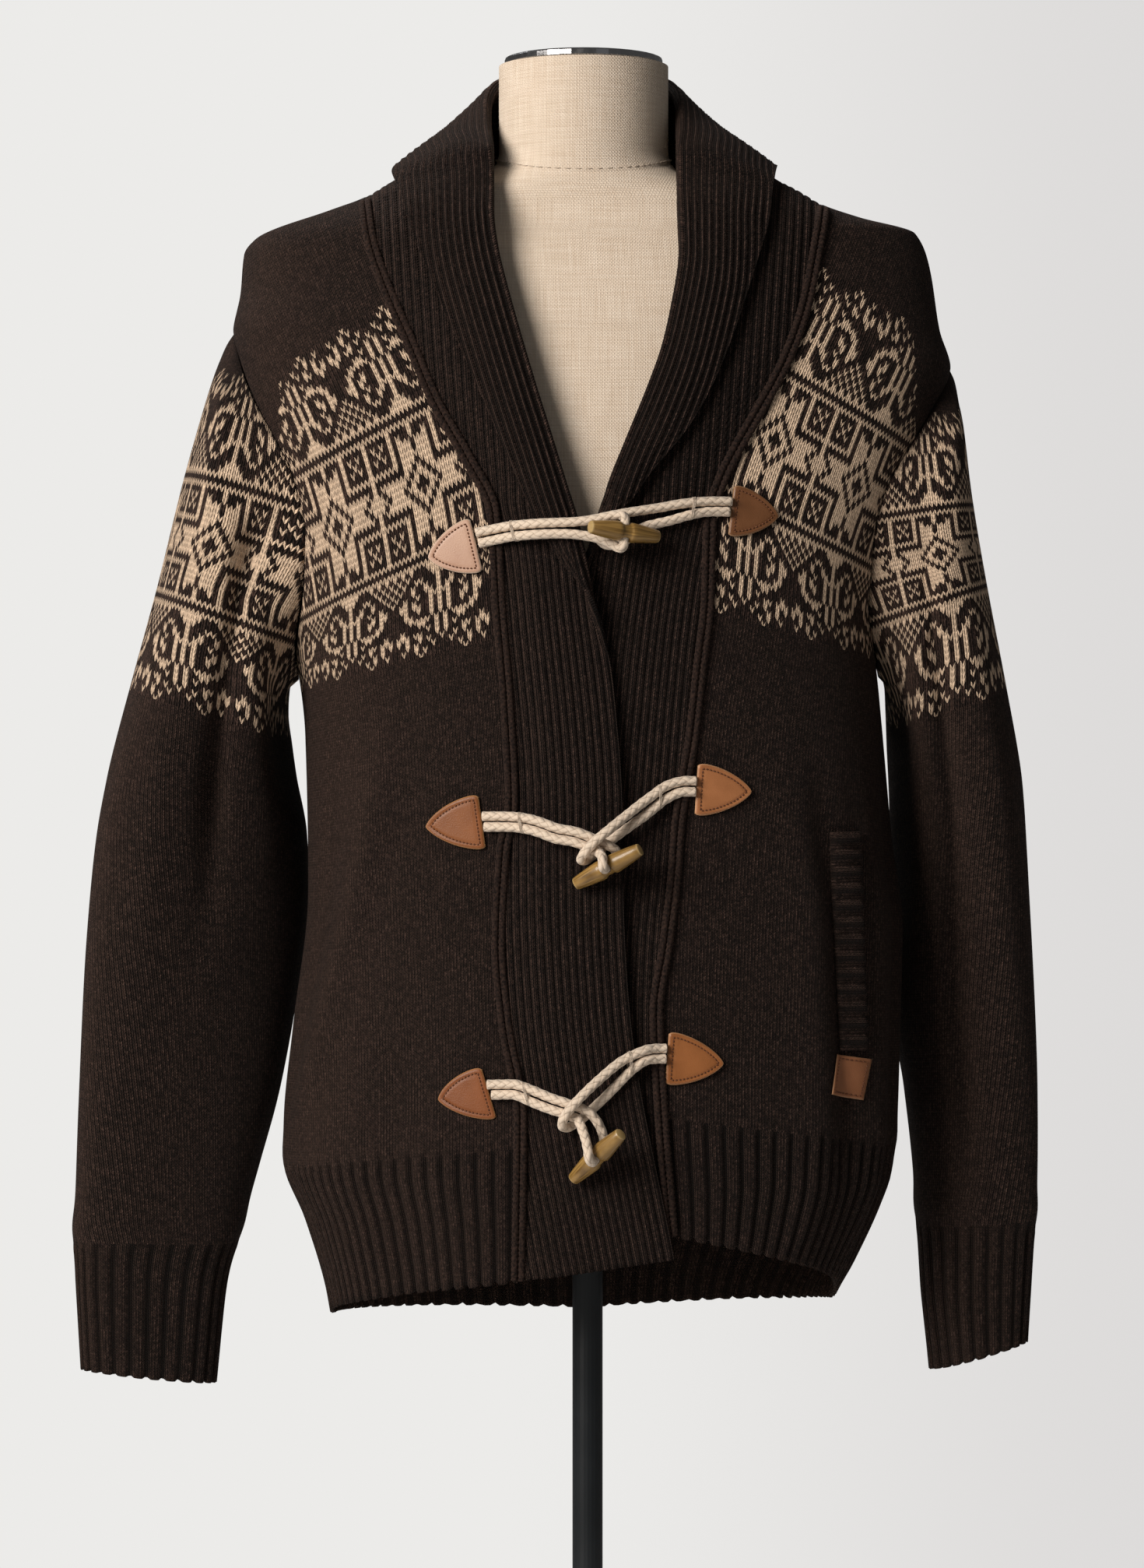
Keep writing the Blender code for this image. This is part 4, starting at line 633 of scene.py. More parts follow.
RIB_MEAN = 0.7           # of the wave below, about which ribs rise and sink
UNEVEN = 0.00045         # height of the knit's soft unevenness


def rib_wave(phase):
    """Height of a ribbed column across one rib: rounded, with a narrow groove at each half."""
    return 1 - np.abs(np.sin(math.pi * phase)) ** 8


def uneven(seed, u, v):
    """Soft unevenness of hand-pressed knitting along u and v, all in metres."""
    total = np.zeros(np.broadcast(u, v).shape)
    for wave in range(7):
        a = math.sin(seed * 12.9 + wave * 7.7) * 0.5 + 0.5
        b, c = math.sin(seed * 4.1 + wave * 3.3), seed * 2.3 + wave * 1.9
        total = total + np.sin(u * (18 + 40 * a) + v * 30 * b + c) / (1.6 + 0.4 * wave)
    return total * UNEVEN


BAND_ENDS = {RIGHT: 0.189, LEFT: 0.201}    # how far out from the middle the band goes,
BAND_ENDS_ABOVE = 1.125                    # above this height
HEM_HIGH = 0.082         # of the ribbed hem
RIB_STITCHES = 5.0       # four in a rib and a sunken one
BACK_SLOPE = 0.06        # how steeply the back's lines of stitches fall towards the sides
BACK_ZERO = 1.10         # height that the back's rows are counted from
RIB_RELIEF = 0.0020      # height of the hem's ribs over their grooves
RIBS_END = 0.35          # courses in which they end
SCALLOP, SCALLOP_FADES = 0.0020, 0.22   # a rib ends this much lower, and in courses how far up
FULLER = 0.0011          # the knit stands out this much just above its ribs
SEAM_DRAWN, SEAM_WIDE = 0.0005, 0.0022  # how far a side seam draws it in, and how near the seam


def panel(side, back, rows_each, columns):
    """One front, or one half of the back, with its ribbed hem and its relief."""
    course = np.linspace(0, TIP, TIP * rows_each + 1)[:, None]
    share = np.linspace(0, 1, columns + 1)[None, :]
    turn, height = panel_places(side, back, course, share)
    face = body(turn, height)
    x, z = face[..., 0], face[..., 2]
    if back:
        girth = arc(side, np.full_like(turn, math.pi), height)
        count_u = (math.pi - np.abs(turn)) * girth / math.pi / WALE
        count_v = (z + BACK_SLOPE * np.abs(x) - BACK_ZERO) / ROW
    else:
        level = level_of(side, x, z)
        slope = look_up(LEVELS[side], "slope", level)
        from_x = look_up(LEVELS[side], "wale_x", level)
        base = arc(side, front_turn(side * from_x, height), height)
        count_u = (arc(side, turn, height) - base) * np.sqrt(1 + slope ** 2) / WALE
        count_v = look_up(LEVELS[side], "row", level)
    ribs = (HEM_RIBS["back"] / 2 if back else HEM_RIBS["front"]) * share
    in_rib = ease((HEM_COURSES - course) / RIBS_END + 0.5)
    normal = grid_normals(face)
    outside = body(turn, height, 0.001) - face
    normal = normal * np.sign(np.sum(normal * outside, axis=-1, keepdims=True))
    relief = in_rib * RIB_RELIEF * (rib_wave(ribs) - RIB_MEAN)
    relief = relief + FULLER * np.exp(-((course - HEM_COURSES - RIBS_END) / RIBS_END) ** 2)
    relief = relief + uneven(3 * side + (7 if back else 0), count_u * WALE, count_v * ROW)
    wide = np.maximum(np.linalg.norm(face[:, -1:] - face[:, :1], axis=-1), 0.01)
    relief = relief - SEAM_DRAWN * np.exp(-((1 - share) * wide / SEAM_WIDE) ** 2)
    face = face + normal * relief[..., None]
    # each rib ends a little lower than the groove beside it
    face[..., 2] -= SCALLOP * np.exp(-course / SCALLOP_FADES) * (rib_wave(ribs) - 0.5)
    # the band stops short of the armhole at the shoulder
    plain = 0.0 if back else (np.abs(x) > BAND_ENDS[side]) & (z > BAND_ENDS_ABOVE)
    return Patch(face, face - normal * WALL, count_u, count_v, ribs,
                 course / HEM_COURSES * HEM_HIGH / ROW, RIB_STITCHES, HEM_COURSES * rows_each,
                 plain)


def panel_places(side, back, course, share):
    """Turns and heights of a panel's courses, at shares of its width from the middle."""
    outer_turn = armhole_turn(side, course, back)
    outer_height = look_up(COURSES[side], "side", course)
    if back:
        round_turn, round_height = neckline(side, np.clip(TIP - course, 0, NECK_TURNS))
        centre_height = look_up(BACK_COURSES, "height", course)
        inner_turn = np.where(course < BACK_NECK, side * math.pi, round_turn)
        inner_height = np.where(course < BACK_NECK, centre_height, round_height)
    else:
        inner_turn = seam_turn(side, course)
        inner_height = look_up(COURSES[side], "seam", course)
    # the shoulder runs out nearly level before it drops, so the upper rows follow it; the rows
    # below the armhole sag towards the armpit
    bend = 1 + 0.8 * ease((course - BACK_NECK) / (TIP - BACK_NECK))
    bend = np.where(course > ARMPIT, bend, 1 - 0.4 * np.clip(1 - (ARMPIT - course) / 4, 0, 1))
    turn = inner_turn + (outer_turn - inner_turn) * share
    height = inner_height + (outer_height - inner_height) * share ** bend
    return turn, height


halves = [panel(side, True, 6, 80) for side in (RIGHT, LEFT)]
back_piece = cloth("back_knit", halves, knit("brushed lambswool", False))
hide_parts("back_hem", "back", "back_yoke")
for side, word in ((RIGHT, "right"), (LEFT, "left")):
    finish = knit("stranded lambswool, %s front" % word, True)
    front = cloth("front_knit_" + word, [panel(side, False, 6, 192)], finish)
    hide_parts("front_" + word)

# ---------------------------------------------------------------- the sleeves
# Tubes of the same lambswool and band, shaped by decreases along the underarm seam and ended in a
# ribbed cuff. Each is linked into its armhole and hangs empty, just clear of the body.
SLEEVE_SQUARE = 0.05     # how far the sleeves' rings bulge at their corners
CUFF_RIBS = {RIGHT: 26, LEFT: 24}
CUFF_HIGH = {RIGHT: 0.082, LEFT: 0.080}
CUFF_RELIEF, CUFF_SCALLOP = 0.0018, 0.0018   # of its ribs over their grooves, and at their ends
CUFF_ENDS, SCALLOP_HIGH = 0.006, 0.005       # height in which its ribs and its scallops fade out
SLEEVE_FULLER, FULLER_HIGH = 0.0014, 0.012   # how far the sleeve stands out above it, and where
ARMHOLE_DRAWN, ARMHOLE_OUT = 0.0006, 0.0008  # how far the seam draws it in, and moves it out
SLEEVE_X = {RIGHT: 0.22, LEFT: 0.21}         # how far out the levels below are given
SLEEVE_LEVELS = {
    RIGHT: table(Level,
        (0.54, 0.11, -312), (0.64, 0.12, -253), (0.8, 0.2, -160), (0.9, 0.28, -100),
        (0.97, 0.33, -58), (1.0212, 0.35, -24), (1.062, 0.32, 0), (1.104, 0.29, 24),
        (1.19, 0.26, 73), (1.3, 0.2, 136)),
    LEFT: table(Level,
        (0.54, -0.1, -330), (0.64, 0.02, -270), (0.8, 0.15, -170), (0.9, 0.28, -104),
        (0.97, 0.35, -60), (1.0306, 0.34, -24), (1.06, 0.24, 0), (1.0889, 0.14, 24),
        (1.15, 0.14, 66), (1.26, 0.12, 130)),
}
Ring = namedtuple("Ring", "outer_x outer_y outer_z inner_x inner_y inner_z half")
Crease = namedtuple("Crease", "angle first last spread rise")

# the sleeves, ring by ring below the armhole: their outer and inner points, and half their depth
SLEEVES = {
    RIGHT: table(Ring,
        (-0.2323, 0.0, 1.1817, -0.188, 0.002, 0.976, 0.075),
        (-0.2524, 0.0, 1.1156, -0.189, 0.01, 0.96, 0.081),
        (-0.2715, 0.0, 1.0396, -0.187, 0.02, 0.9435, 0.079),
        (-0.2857, 0.0, 0.9871, -0.185, 0.032, 0.924, 0.074),
        (-0.3023, 0.0, 0.9234, -0.1798, 0.042, 0.8891, 0.067),
        (-0.3102, 0.0, 0.8801, -0.1784, 0.046, 0.8514, 0.06),
        (-0.317, 0.002, 0.8073, -0.1847, 0.044, 0.7911, 0.048),
        (-0.3205, 0.006, 0.7274, -0.1955, 0.038, 0.7274, 0.038),
        (-0.3224, 0.008, 0.6784, -0.2087, 0.034, 0.6784, 0.031),
        (-0.3239, 0.01, 0.6368, -0.2215, 0.03, 0.6343, 0.026),
        (-0.3229, 0.01, 0.6098, -0.2293, 0.026, 0.6049, 0.022),
        (-0.319, 0.008, 0.5515, -0.2357, 0.02, 0.5422, 0.02)),
    LEFT: table(Ring,
        (0.2337, 0.0, 1.1586, 0.1875, 0.002, 0.978, 0.075),
        (0.2411, 0.0, 1.1038, 0.1885, 0.012, 0.962, 0.08),
        (0.2514, 0.0, 1.041, 0.1895, 0.028, 0.944, 0.078),
        (0.2622, 0.002, 0.9832, 0.191, 0.042, 0.924, 0.073),
        (0.2734, 0.004, 0.9203, 0.193, 0.054, 0.8891, 0.066),
        (0.2769, 0.006, 0.8793, 0.1945, 0.058, 0.8499, 0.06),
        (0.2808, 0.008, 0.8073, 0.1936, 0.058, 0.7911, 0.052),
        (0.2832, 0.01, 0.7274, 0.2032, 0.052, 0.7274, 0.044),
        (0.2837, 0.01, 0.6784, 0.208, 0.046, 0.6784, 0.038),
        (0.2818, 0.01, 0.6348, 0.2112, 0.04, 0.627, 0.032),
        (0.2803, 0.01, 0.6049, 0.2122, 0.034, 0.6025, 0.027),
        (0.2778, 0.008, 0.5692, 0.2176, 0.028, 0.55, 0.024)),
}

# soft creases of a sleeve: degrees from its outer point round by the front, the rings they span,
# how far round they spread and how far they stand out
CREASES = {
    RIGHT: table(Crease,
        (98, 0.5, 6, 8, -0.01), (128, 0.8, 6, 12, 0.003), (70, 1.5, 7, 16, 0.004),
        (250, 1, 7, 18, -0.0045), (158, 1, 4, 26, -0.011)),
    LEFT: table(Crease,
        (98, 0.8, 8, 9, -0.0085), (126, 1, 7, 12, 0.0025), (62, 2, 8, 16, 0.0035),
        (245, 1, 7, 18, -0.0045), (155, 1, 4, 28, -0.013)),
}


def sleeve_ring(side, number, seam_angle):
    """The points of one ring of a sleeve, from its outer point round by the front."""
    row, even = SLEEVES[side][number - 1], np.linspace(0, math.tau, len(seam_angle))
    outer = np.array((row.outer_x, row.outer_y, row.outer_z))
    inner = np.array((row.inner_x, row.inner_y, row.inner_z))
    settle = float(ease(number / 4))
    angle = seam_angle + (even - seam_angle) * settle
    full = 1 + SLEEVE_SQUARE * np.sin(2 * angle) ** 2
    across, deep = (outer - inner) / 2, np.array((0.0, -row.half, 0.0))
    points = ((outer + inner) / 2 + (np.cos(angle) * full)[:, None] * across
              + (np.sin(angle) * full)[:, None] * deep)
    outwards = unit(points - (outer + inner) / 2)
    for crease in CREASES[side]:
        off = np.angle(np.exp(1j * (angle - math.radians(crease.angle))))
        ends = float(ease(number - crease.first + 0.5) * ease((crease.last - number) / 2 + 0.5))
        lift = crease.rise * ends * np.exp(-(off / math.radians(crease.spread)) ** 2)
        points = points + lift[:, None] * outwards
    return points


def cross_points(side, which):
    """Heights going up, and the sleeve's outer or inner x, middle y or half depth there."""
    rings = SLEEVES[side][::-1]
    if which in ("outer", "inner"):
        return tuple([getattr(r, which + axis) for r in rings] for axis in ("_z", "_x"))
    middles = [(r.outer_z + r.inner_z) / 2 for r in rings]
    return middles, [r.half if which == "half" else (r.outer_y + r.inner_y) / 2 for r in rings]


def ellipse_arc(angle, wide, deep):
    """Length round an ellipse from its outer point to an angle of it."""
    shares = np.linspace(0, 1, 25)
    steps = angle[..., None] * (shares[1:] + shares[:-1]) / 2
    speed = np.sqrt((np.sin(steps) * wide[..., None]) ** 2 + (np.cos(steps) * deep[..., None]) ** 2)
    return (speed * (angle / 24)[..., None]).sum(axis=-1)


def sleeve(side, each_course, rows):
    """One sleeve from its armhole to its cuff, with its ribs, relief and counted stitches."""
    front = np.linspace(TIP, ARMPIT, (TIP - ARMPIT) * each_course + 1)
    course = np.append(front, front[::-1][1:])
    behind = np.arange(len(course)) >= len(front)
    turn = np.where(behind, *(armhole_turn(side, course, back) for back in (True, False)))
    loop = body(turn, look_up(COURSES[side], "side", course))
    loop[-1] = loop[0]
    low, high = loop.min(axis=0), loop.max(axis=0)
    _, ahead, up = ((loop - (low + high) / 2) / ((high - low) / 2)).T
    seam_angle = np.unwrap(np.arctan2(-ahead, up))
    rings = [sleeve_ring(side, n + 1, seam_angle) for n in range(len(SLEEVES[side]))]
    # next to the seam it stands out a little, clear of the body
    eased = loop + (rings[0] - loop) * 0.3 + np.array((side * ARMHOLE_OUT, 0, 0))
    rings = np.array([loop, eased] + rings)
    knots = np.append((0.0, 0.35), np.arange(1, len(rings) - 1))
    at = np.append(np.linspace(0, 1, 9)[:-1], np.linspace(1, len(rings) - 2, rows))
    grid = np.empty((len(at), len(loop), 3))
    for column in range(len(loop)):
        for axis in range(3):
            grid[:, column, axis] = smooth(knots, rings[:, column, axis], at)
    wrapped = np.concatenate((grid[:, -2:-1], grid, grid[:, 1:2]), axis=1)
    normal = grid_normals(wrapped)[:, 1:-1]
    # they point outwards, away from the middle of the rows well below the armhole
    middle = grid[:, :-1].mean(axis=1, keepdims=True)
    normal = normal * np.sign(np.median(np.sum(normal[20:] * (grid - middle)[20:], axis=-1)))
    normal[:, -1] = normal[:, 0]
    x, z = grid[..., 0], grid[..., 2]
    level = np.array(z)
    for _ in range(8):
        level = z - look_up(SLEEVE_LEVELS[side], "slope", level) * (np.abs(x) - SLEEVE_X[side])
    outer_x, inner_x, back_y, deep = (np.interp(level, *cross_points(side, which))
                                      for which in ("outer", "inner", "y", "half"))
    wide = np.abs(outer_x - inner_x) / 2
    angle = np.arctan2(-(grid[..., 1] - back_y) / deep, (x - (outer_x + inner_x) / 2) * side / wide)
    # the wales run down from the outer point, and are taken in at the underarm
    count_u = ellipse_arc(angle, wide, deep) / WALE
    count_v = look_up(SLEEVE_LEVELS[side], "row", level)
    # the cuff's ribs end on a line of stitches, and the sleeve is fuller just above them
    end = grid[-1, :, 2].mean()
    above = z - end - CUFF_HIGH[side]
    ribs = np.linspace(0, CUFF_RIBS[side], len(loop))
    relief = ease(0.5 - above / CUFF_ENDS) * CUFF_RELIEF * (rib_wave(ribs) - RIB_MEAN)
    relief = relief + SLEEVE_FULLER * np.exp(-((above - FULLER_HIGH) / FULLER_HIGH) ** 2)
    turned = np.linspace(0, math.tau, len(loop))
    for seed, round_way in ((5 * side + 1, np.sin(turned)), (5 * side + 2, np.cos(turned))):
        relief = relief + uneven(seed, round_way * 0.15, z)
    # it is drawn in a little at the armhole's seam
    relief = relief - ARMHOLE_DRAWN * (1 - np.minimum(at / 0.5, 1)[:, None]) ** 2
    face = grid + normal * relief[..., None]
    low_down = np.exp(-np.clip(z - end, 0, 1) / SCALLOP_HIGH)
    face[..., 2] -= CUFF_SCALLOP * low_down * (rib_wave(ribs) - 0.5)
    face[:, -1] = face[:, 0]
    ribbed = int(np.sum(z.mean(axis=1) < end + CUFF_HIGH[side]))
    return Patch(face[::-1], (face - normal * WALL)[::-1], count_u[::-1], count_v[::-1], ribs,
                 (z[::-1] - end) / ROW, RIB_STITCHES, ribbed)


for side, word in ((RIGHT, "right"), (LEFT, "left")):
    finish = knit("stranded lambswool, %s sleeve" % word, True)
    piece = cloth("sleeve_knit_" + word, [sleeve(side, 7, 150)], finish)
    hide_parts("sleeve_" + word, "forearm_" + word, "cuff_" + word)

# ---------------------------------------------------------------- the band and shawl collar
# One long strip in single rib, knitted by itself and linked to the fronts and the back of the
# neck: a flat overlapping band below, and a collar that rolls over above it.
RIB_WALL = 0.0030        # thickness of the ribbed knit
RIB_PITCH = 0.0048       # of the collar's single rib
COLLAR_RELIEF = 0.0016   # height of its ribs over their grooves
RIBS_FADE = 0.004, 0.002      # they fade out over these widths at the seam and at the edge
STEEP_PITCH, STEEP_LEAN = 0.0054, 0.083   # of its stand's ribs, and how far they lean
FOLD_RADIUS = 0.0030     # of the collar's fold, to the middle of its wall
STAND, FOLDED, FALL = 5, 4, 4  # columns of the collar: up its stand, round its fold, down its fall
LIFT_WIDTH = 0.025       # a band rises off the body over this width from its seam
SELVEDGE = 0.003         # beyond the strip that folds, where the band lies flat
FALL_BULGE = 0.002       # the collar's fall stands out this much more in its middle
NECK_BULGE = 0.004       # the same round the back of the neck
EDGE_REST = 0.0015       # the fall's edge lies this far off the back
NECK_X = -0.0025         # the form's neck stands this far from the pole's axis

Row = namedtuple("Row", "course roll edge lift turned")
Neck = namedtuple("Neck", "course out y z edge_turn edge_height")

# the front bands' free edges below the neck's opening, the collar's roll above it, and its edge
FREE_EDGES = {
    RIGHT: table(Line,
        (0.633, 0.0517), (0.783, 0.0249), (0.847, 0.0212), (0.914, 0.0202), (0.954, 0.0174),
        (1.0035, 0.0113), (1.03, 0.0019)),
    LEFT: table(Line,
        (0.647, -0.024), (0.78, -0.03), (0.9, -0.022), (1.0, -0.012), (1.04, -0.006),
        (1.068, 0.004)),
}
ROLLS = {
    RIGHT: table(Line,
        (1.03, 0.0019), (1.064, -0.0035), (1.0785, -0.008), (1.104, -0.0148), (1.15, -0.0291),
        (1.186, -0.04), (1.232, -0.0526), (1.264, -0.0587), (1.317, -0.058)),
    LEFT: table(Line,
        (1.068, 0.004), (1.0785, 0.006), (1.099, 0.0125), (1.141, 0.0288), (1.177, 0.0431),
        (1.215, 0.0523), (1.244, 0.0565), (1.317, 0.0545)),
}
FALLS = {
    RIGHT: table(Line,
        (1.03, 0.0019), (1.046, -0.0131), (1.064, -0.0215), (1.085, -0.0342), (1.124, -0.0511),
        (1.17, -0.0711), (1.202, -0.0851), (1.233, -0.0976), (1.258, -0.1084), (1.293, -0.118)),
    LEFT: table(Line,
        (1.068, 0.004), (1.0804, 0.0164), (1.0897, 0.0258), (1.107, 0.0376), (1.126, 0.0541),
        (1.146, 0.0669), (1.177, 0.0822), (1.193, 0.0876), (1.232, 0.1008), (1.272, 0.1115),
        (1.301, 0.113)),
}

# rows of the band and collar: the heights of its roll and edge, how far its face stands out from
# the body there, and how far it is turned over, from 0 where it lies flat to 1
ROWS = {
    RIGHT: table(Row,
        (0, 0.6334, 0.6334, 0.0045, 0.0), (3, 0.709, 0.709, 0.0045, 0.0),
        (8, 0.882, 0.882, 0.0045, 0.0), (11, 0.996, 0.996, 0.0045, 0.0),
        (12, 1.03, 1.03, 0.0045, 0.5), (13, 1.07, 1.056, 0.005, 1.0), (16, 1.16, 1.14, 0.006, 1.0),
        (19, 1.244, 1.224, 0.006, 1.0), (21, 1.284, 1.265, 0.005, 1.0),
        (22, 1.301, 1.2805, 0.005, 1.0), (23, 1.3165, 1.2925, 0.005, 1.0)),
    LEFT: table(Row,
        (0, 0.65, 0.65, -0.0025, 0.0), (3, 0.721, 0.721, -0.0025, 0.0),
        (8, 0.893, 0.893, -0.0025, 0.0), (12, 1.033, 1.033, -0.0025, 0.0),
        (13, 1.068, 1.068, 0.0, 0.5), (14, 1.096, 1.086, 0.0035, 1.0),
        (16, 1.154, 1.132, 0.006, 1.0), (19, 1.238, 1.214, 0.006, 1.0),
        (21, 1.28, 1.26, 0.005, 1.0), (22, 1.2975, 1.277, 0.005, 1.0),
        (23, 1.3145, 1.291, 0.005, 1.0)),
}

# the collar round the back of the neck, from the shoulder: its roll, and where its edge lies
NECKS = table(Neck,
    (24, 0.058, -0.014, 1.332, 90, 1.3015), (25, 0.0575, 0.01, 1.35, 121, 1.295),
    (26, 0.052, 0.03, 1.362, 138, 1.286), (27, 0.041, 0.045, 1.369, 151, 1.277),
    (28, 0.028, 0.0555, 1.3725, 162, 1.2715), (29, 0.014, 0.061, 1.374, 171, 1.268),
    (30, 0.0, 0.0625, 1.3745, 180, 1.267))


def stand_lift(side, course, along):
    """How far the band or the collar's stand lies off the body, along metres from its seam."""
    return float(look_up(ROWS[side], "lift", course)) * ease(along / LIFT_WIDTH)


def front_row(side, course):
    """The middle of the collar's wall in one row of the front, from its seam to its edge."""
    rows, middle = ROWS[side], -RIB_WALL / 2
    turned = float(look_up(rows, "turned", course))
    rolls, edges = (ROLLS, FALLS) if turned > 0.6 else (FREE_EDGES, FREE_EDGES)
    seam_z, roll_z, edge_z = (float(look_up(*at, course)) for at in
                              ((COURSES[side], "seam"), (rows, "roll"), (rows, "edge")))
    seam, roll, edge = (np.array((float(look_up(lines[side], "x", z)), z)) for lines, z in
                        ((SEAMS, seam_z), (rolls, roll_z), (edges, edge_z)))
    way = unit(roll - seam)
    turn = math.pi * turned
    length = math.pi * FOLD_RADIUS
    reach = FOLD_RADIUS / turned if turned else length + SELVEDGE
    start = roll - way * reach
    stand = [seam + (start - seam) * k / STAND for k in range(STAND + 1)]
    along = [float(np.linalg.norm(place - seam)) for place in stand]
    points = [on_front(place[0], place[1], middle + stand_lift(side, course, far))
              for place, far in zip(stand, along)]
    forward = unit(points[-1] - points[-2])
    normal = outward(front_turn(*start), start[1])
    normal = unit(normal - forward * np.dot(forward, normal))
    base = points[-1]
    for share in np.arange(1, FOLDED + 1) / FOLDED:
        done = turn * share
        bent = forward * math.sin(done) + normal * (1 - math.cos(done))
        points.append(base + (bent * length / turn if turn else forward * length * share))
    end, heading = points[-1], forward * math.cos(turn) + normal * math.sin(turn)
    for share in np.arange(1, FALL + 1) / FALL:
        if turned < 1:
            points.append(end + heading * SELVEDGE * share)
            continue
        place = start + (edge - start) * share
        lift = stand_lift(side, course, float(np.linalg.norm(place - seam)))
        bulge = FALL_BULGE * math.sin(math.pi * share)
        points.append(on_front(place[0], place[1], middle + lift + 2 * FOLD_RADIUS + bulge))
    return np.array(points)


def neck_row(side, course):
    """The middle of the collar's wall in one row round the back of the neck."""
    seam = body(*neckline(side, course - TIP), -RIB_WALL / 2)
    out, y, z, edge_turn, edge_height = (
        float(look_up(NECKS, column, course)) for column in Neck._fields[1:])
    roll = np.array((NECK_X + side * out, y, z))
    edge = body(side * math.radians(edge_turn), edge_height, 2 * FOLD_RADIUS + EDGE_REST)
    forward = unit(roll - seam)
    away = unit(np.array((roll[0] - NECK_X, roll[1], 0.0))) + np.array((0.0, 0.0, 1.0))
    normal = unit(away - forward * np.dot(away, forward))
    base = roll - forward * FOLD_RADIUS
    points = [seam + (base - seam) * k / STAND for k in range(STAND + 1)]
    for done in math.pi * np.arange(1, FOLDED + 1) / FOLDED:
        bent = forward * math.sin(done) + normal * (1 - math.cos(done))
        points.append(base + bent * FOLD_RADIUS)
    end = points[-1]
    fall_out = unit(np.cross(np.cross(edge - end, normal), edge - end))
    for share in np.arange(1, FALL + 1) / FALL:
        bulge = NECK_BULGE * math.sin(math.pi * share)
        points.append(end + (edge - end) * share + fall_out * bulge)
    return np.array(points)


def finer(grid, places):
    """A grid's rows at places between them, on a curve through them."""
    last = len(grid) - 1
    low = np.clip(np.floor(places).astype(int), 0, last - 1)
    u = (places - low).reshape((-1,) + (1,) * (grid.ndim - 1))
    ends = np.concatenate((2 * grid[:1] - grid[1:2], grid, 2 * grid[-1:] - grid[-2:-1]))
    a, b, c, d = ends[low], ends[low + 1], ends[low + 2], ends[low + 3]
    return 0.5 * (2 * b + (c - a) * u + (2 * a - 5 * b + 4 * c - d) * u ** 2
                  + (3 * b - a - 3 * c + d) * u ** 3)


def collar(side, each_row, columns):
    """One half of the band and collar, with its rib: columns go to its stand, fold and fall."""
    coarse = np.array([front_row(side, c) for c in range(TIP)]
                      + [neck_row(side, c) for c in range(TIP, TIP + NECK_TURNS + 1)])
    rows = np.linspace(0, len(coarse) - 1, (len(coarse) - 1) * each_row + 1)
    across = np.concatenate((np.linspace(0, STAND, columns[0] + 1)[:-1],
                             np.linspace(STAND, STAND + FOLDED, columns[1] + 1)[:-1],
                             np.linspace(STAND + FOLDED, STAND + FOLDED + FALL, columns[2] + 1)))
    middle = finer(coarse, rows)
    middle = np.swapaxes(finer(np.swapaxes(middle, 0, 1), across), 0, 1)
    normal = grid_normals(middle, -side)
    normal[-1, :, 0] = 0.0
    normal[-1] = unit(normal[-1])
    along = run(middle, 1)
    fold = columns[0] + columns[1] // 2
    from_roll = along - along[:, fold:fold + 1]
    length = run(middle[:, fold])[:, None]
    phase = from_roll / RIB_PITCH
    # above the band the stand's ribs run up more steeply than the seam and end at it
    x, z = middle[..., 0], middle[..., 2]
    steep = (-side * x + 0.007 + STEEP_LEAN * (z - 1.15)) / STEEP_PITCH
    fan = ease((z - 1.055) / 0.05) * (np.arange(middle.shape[1]) < columns[0]) * (np.abs(x) > 0.03)
    fan = fan * ease((1.31 - z) / 0.02) * (middle[..., 1] < 0)
    phase = phase + (steep - phase) * fan
    wave = rib_wave(phase) - RIB_MEAN
    edges = ease(along / RIBS_FADE[0]) * ease((along[:, -1:] - along) / RIBS_FADE[1])
    flatter = 1 - 0.6 * ease((z - 1.265) / 0.03)
    relief = COLLAR_RELIEF * wave * edges * flatter
    relief = relief + uneven(side + 9, from_roll, length) * 0.8 * edges
    middle = middle + normal * relief[..., None]
    return Patch(middle + normal * RIB_WALL / 2, middle - normal * RIB_WALL / 2, phase * 2,
                 length / ROW, phase, length / ROW, 2.0, len(rows))


rib_knit = knit("single rib lambswool", False)
for side, word in ((RIGHT, "right"), (LEFT, "left")):
    band = cloth("collar_knit_" + word, [collar(side, 6, (84, 12, 96))], rib_knit)
    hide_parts("collar_" + word)

# ---------------------------------------------------------------- the linking seams of the band
# The band and collar are linked to the fronts with a raised chain of loops, in the same yarn, that
# runs from the hem to the shoulder on each side.
CHAIN_LOOP = 0.0034      # length of one loop of the chain
CHAIN_RADIUS = 0.0021
CHAIN_APART = 0.0021     # each of its two strands from their middle
CHAIN_SWELL = 0.13       # how much each loop swells, of its radius
CHAIN_LIFT, CHAIN_SINKS = 0.0014, 0.0050   # its height, and how far it sinks at the shoulder


def round_faces(rings, sides):
    """The faces of a closed round form that is built of rings of points, its ends last."""
    index = np.arange(rings * sides).reshape(rings, sides)
    sheet = corners(np.concatenate((index, index[:, :1]), axis=1)).reshape(-1, 4)
    return sheet.tolist() + [index[0, ::-1].tolist(), index[-1].tolist()]


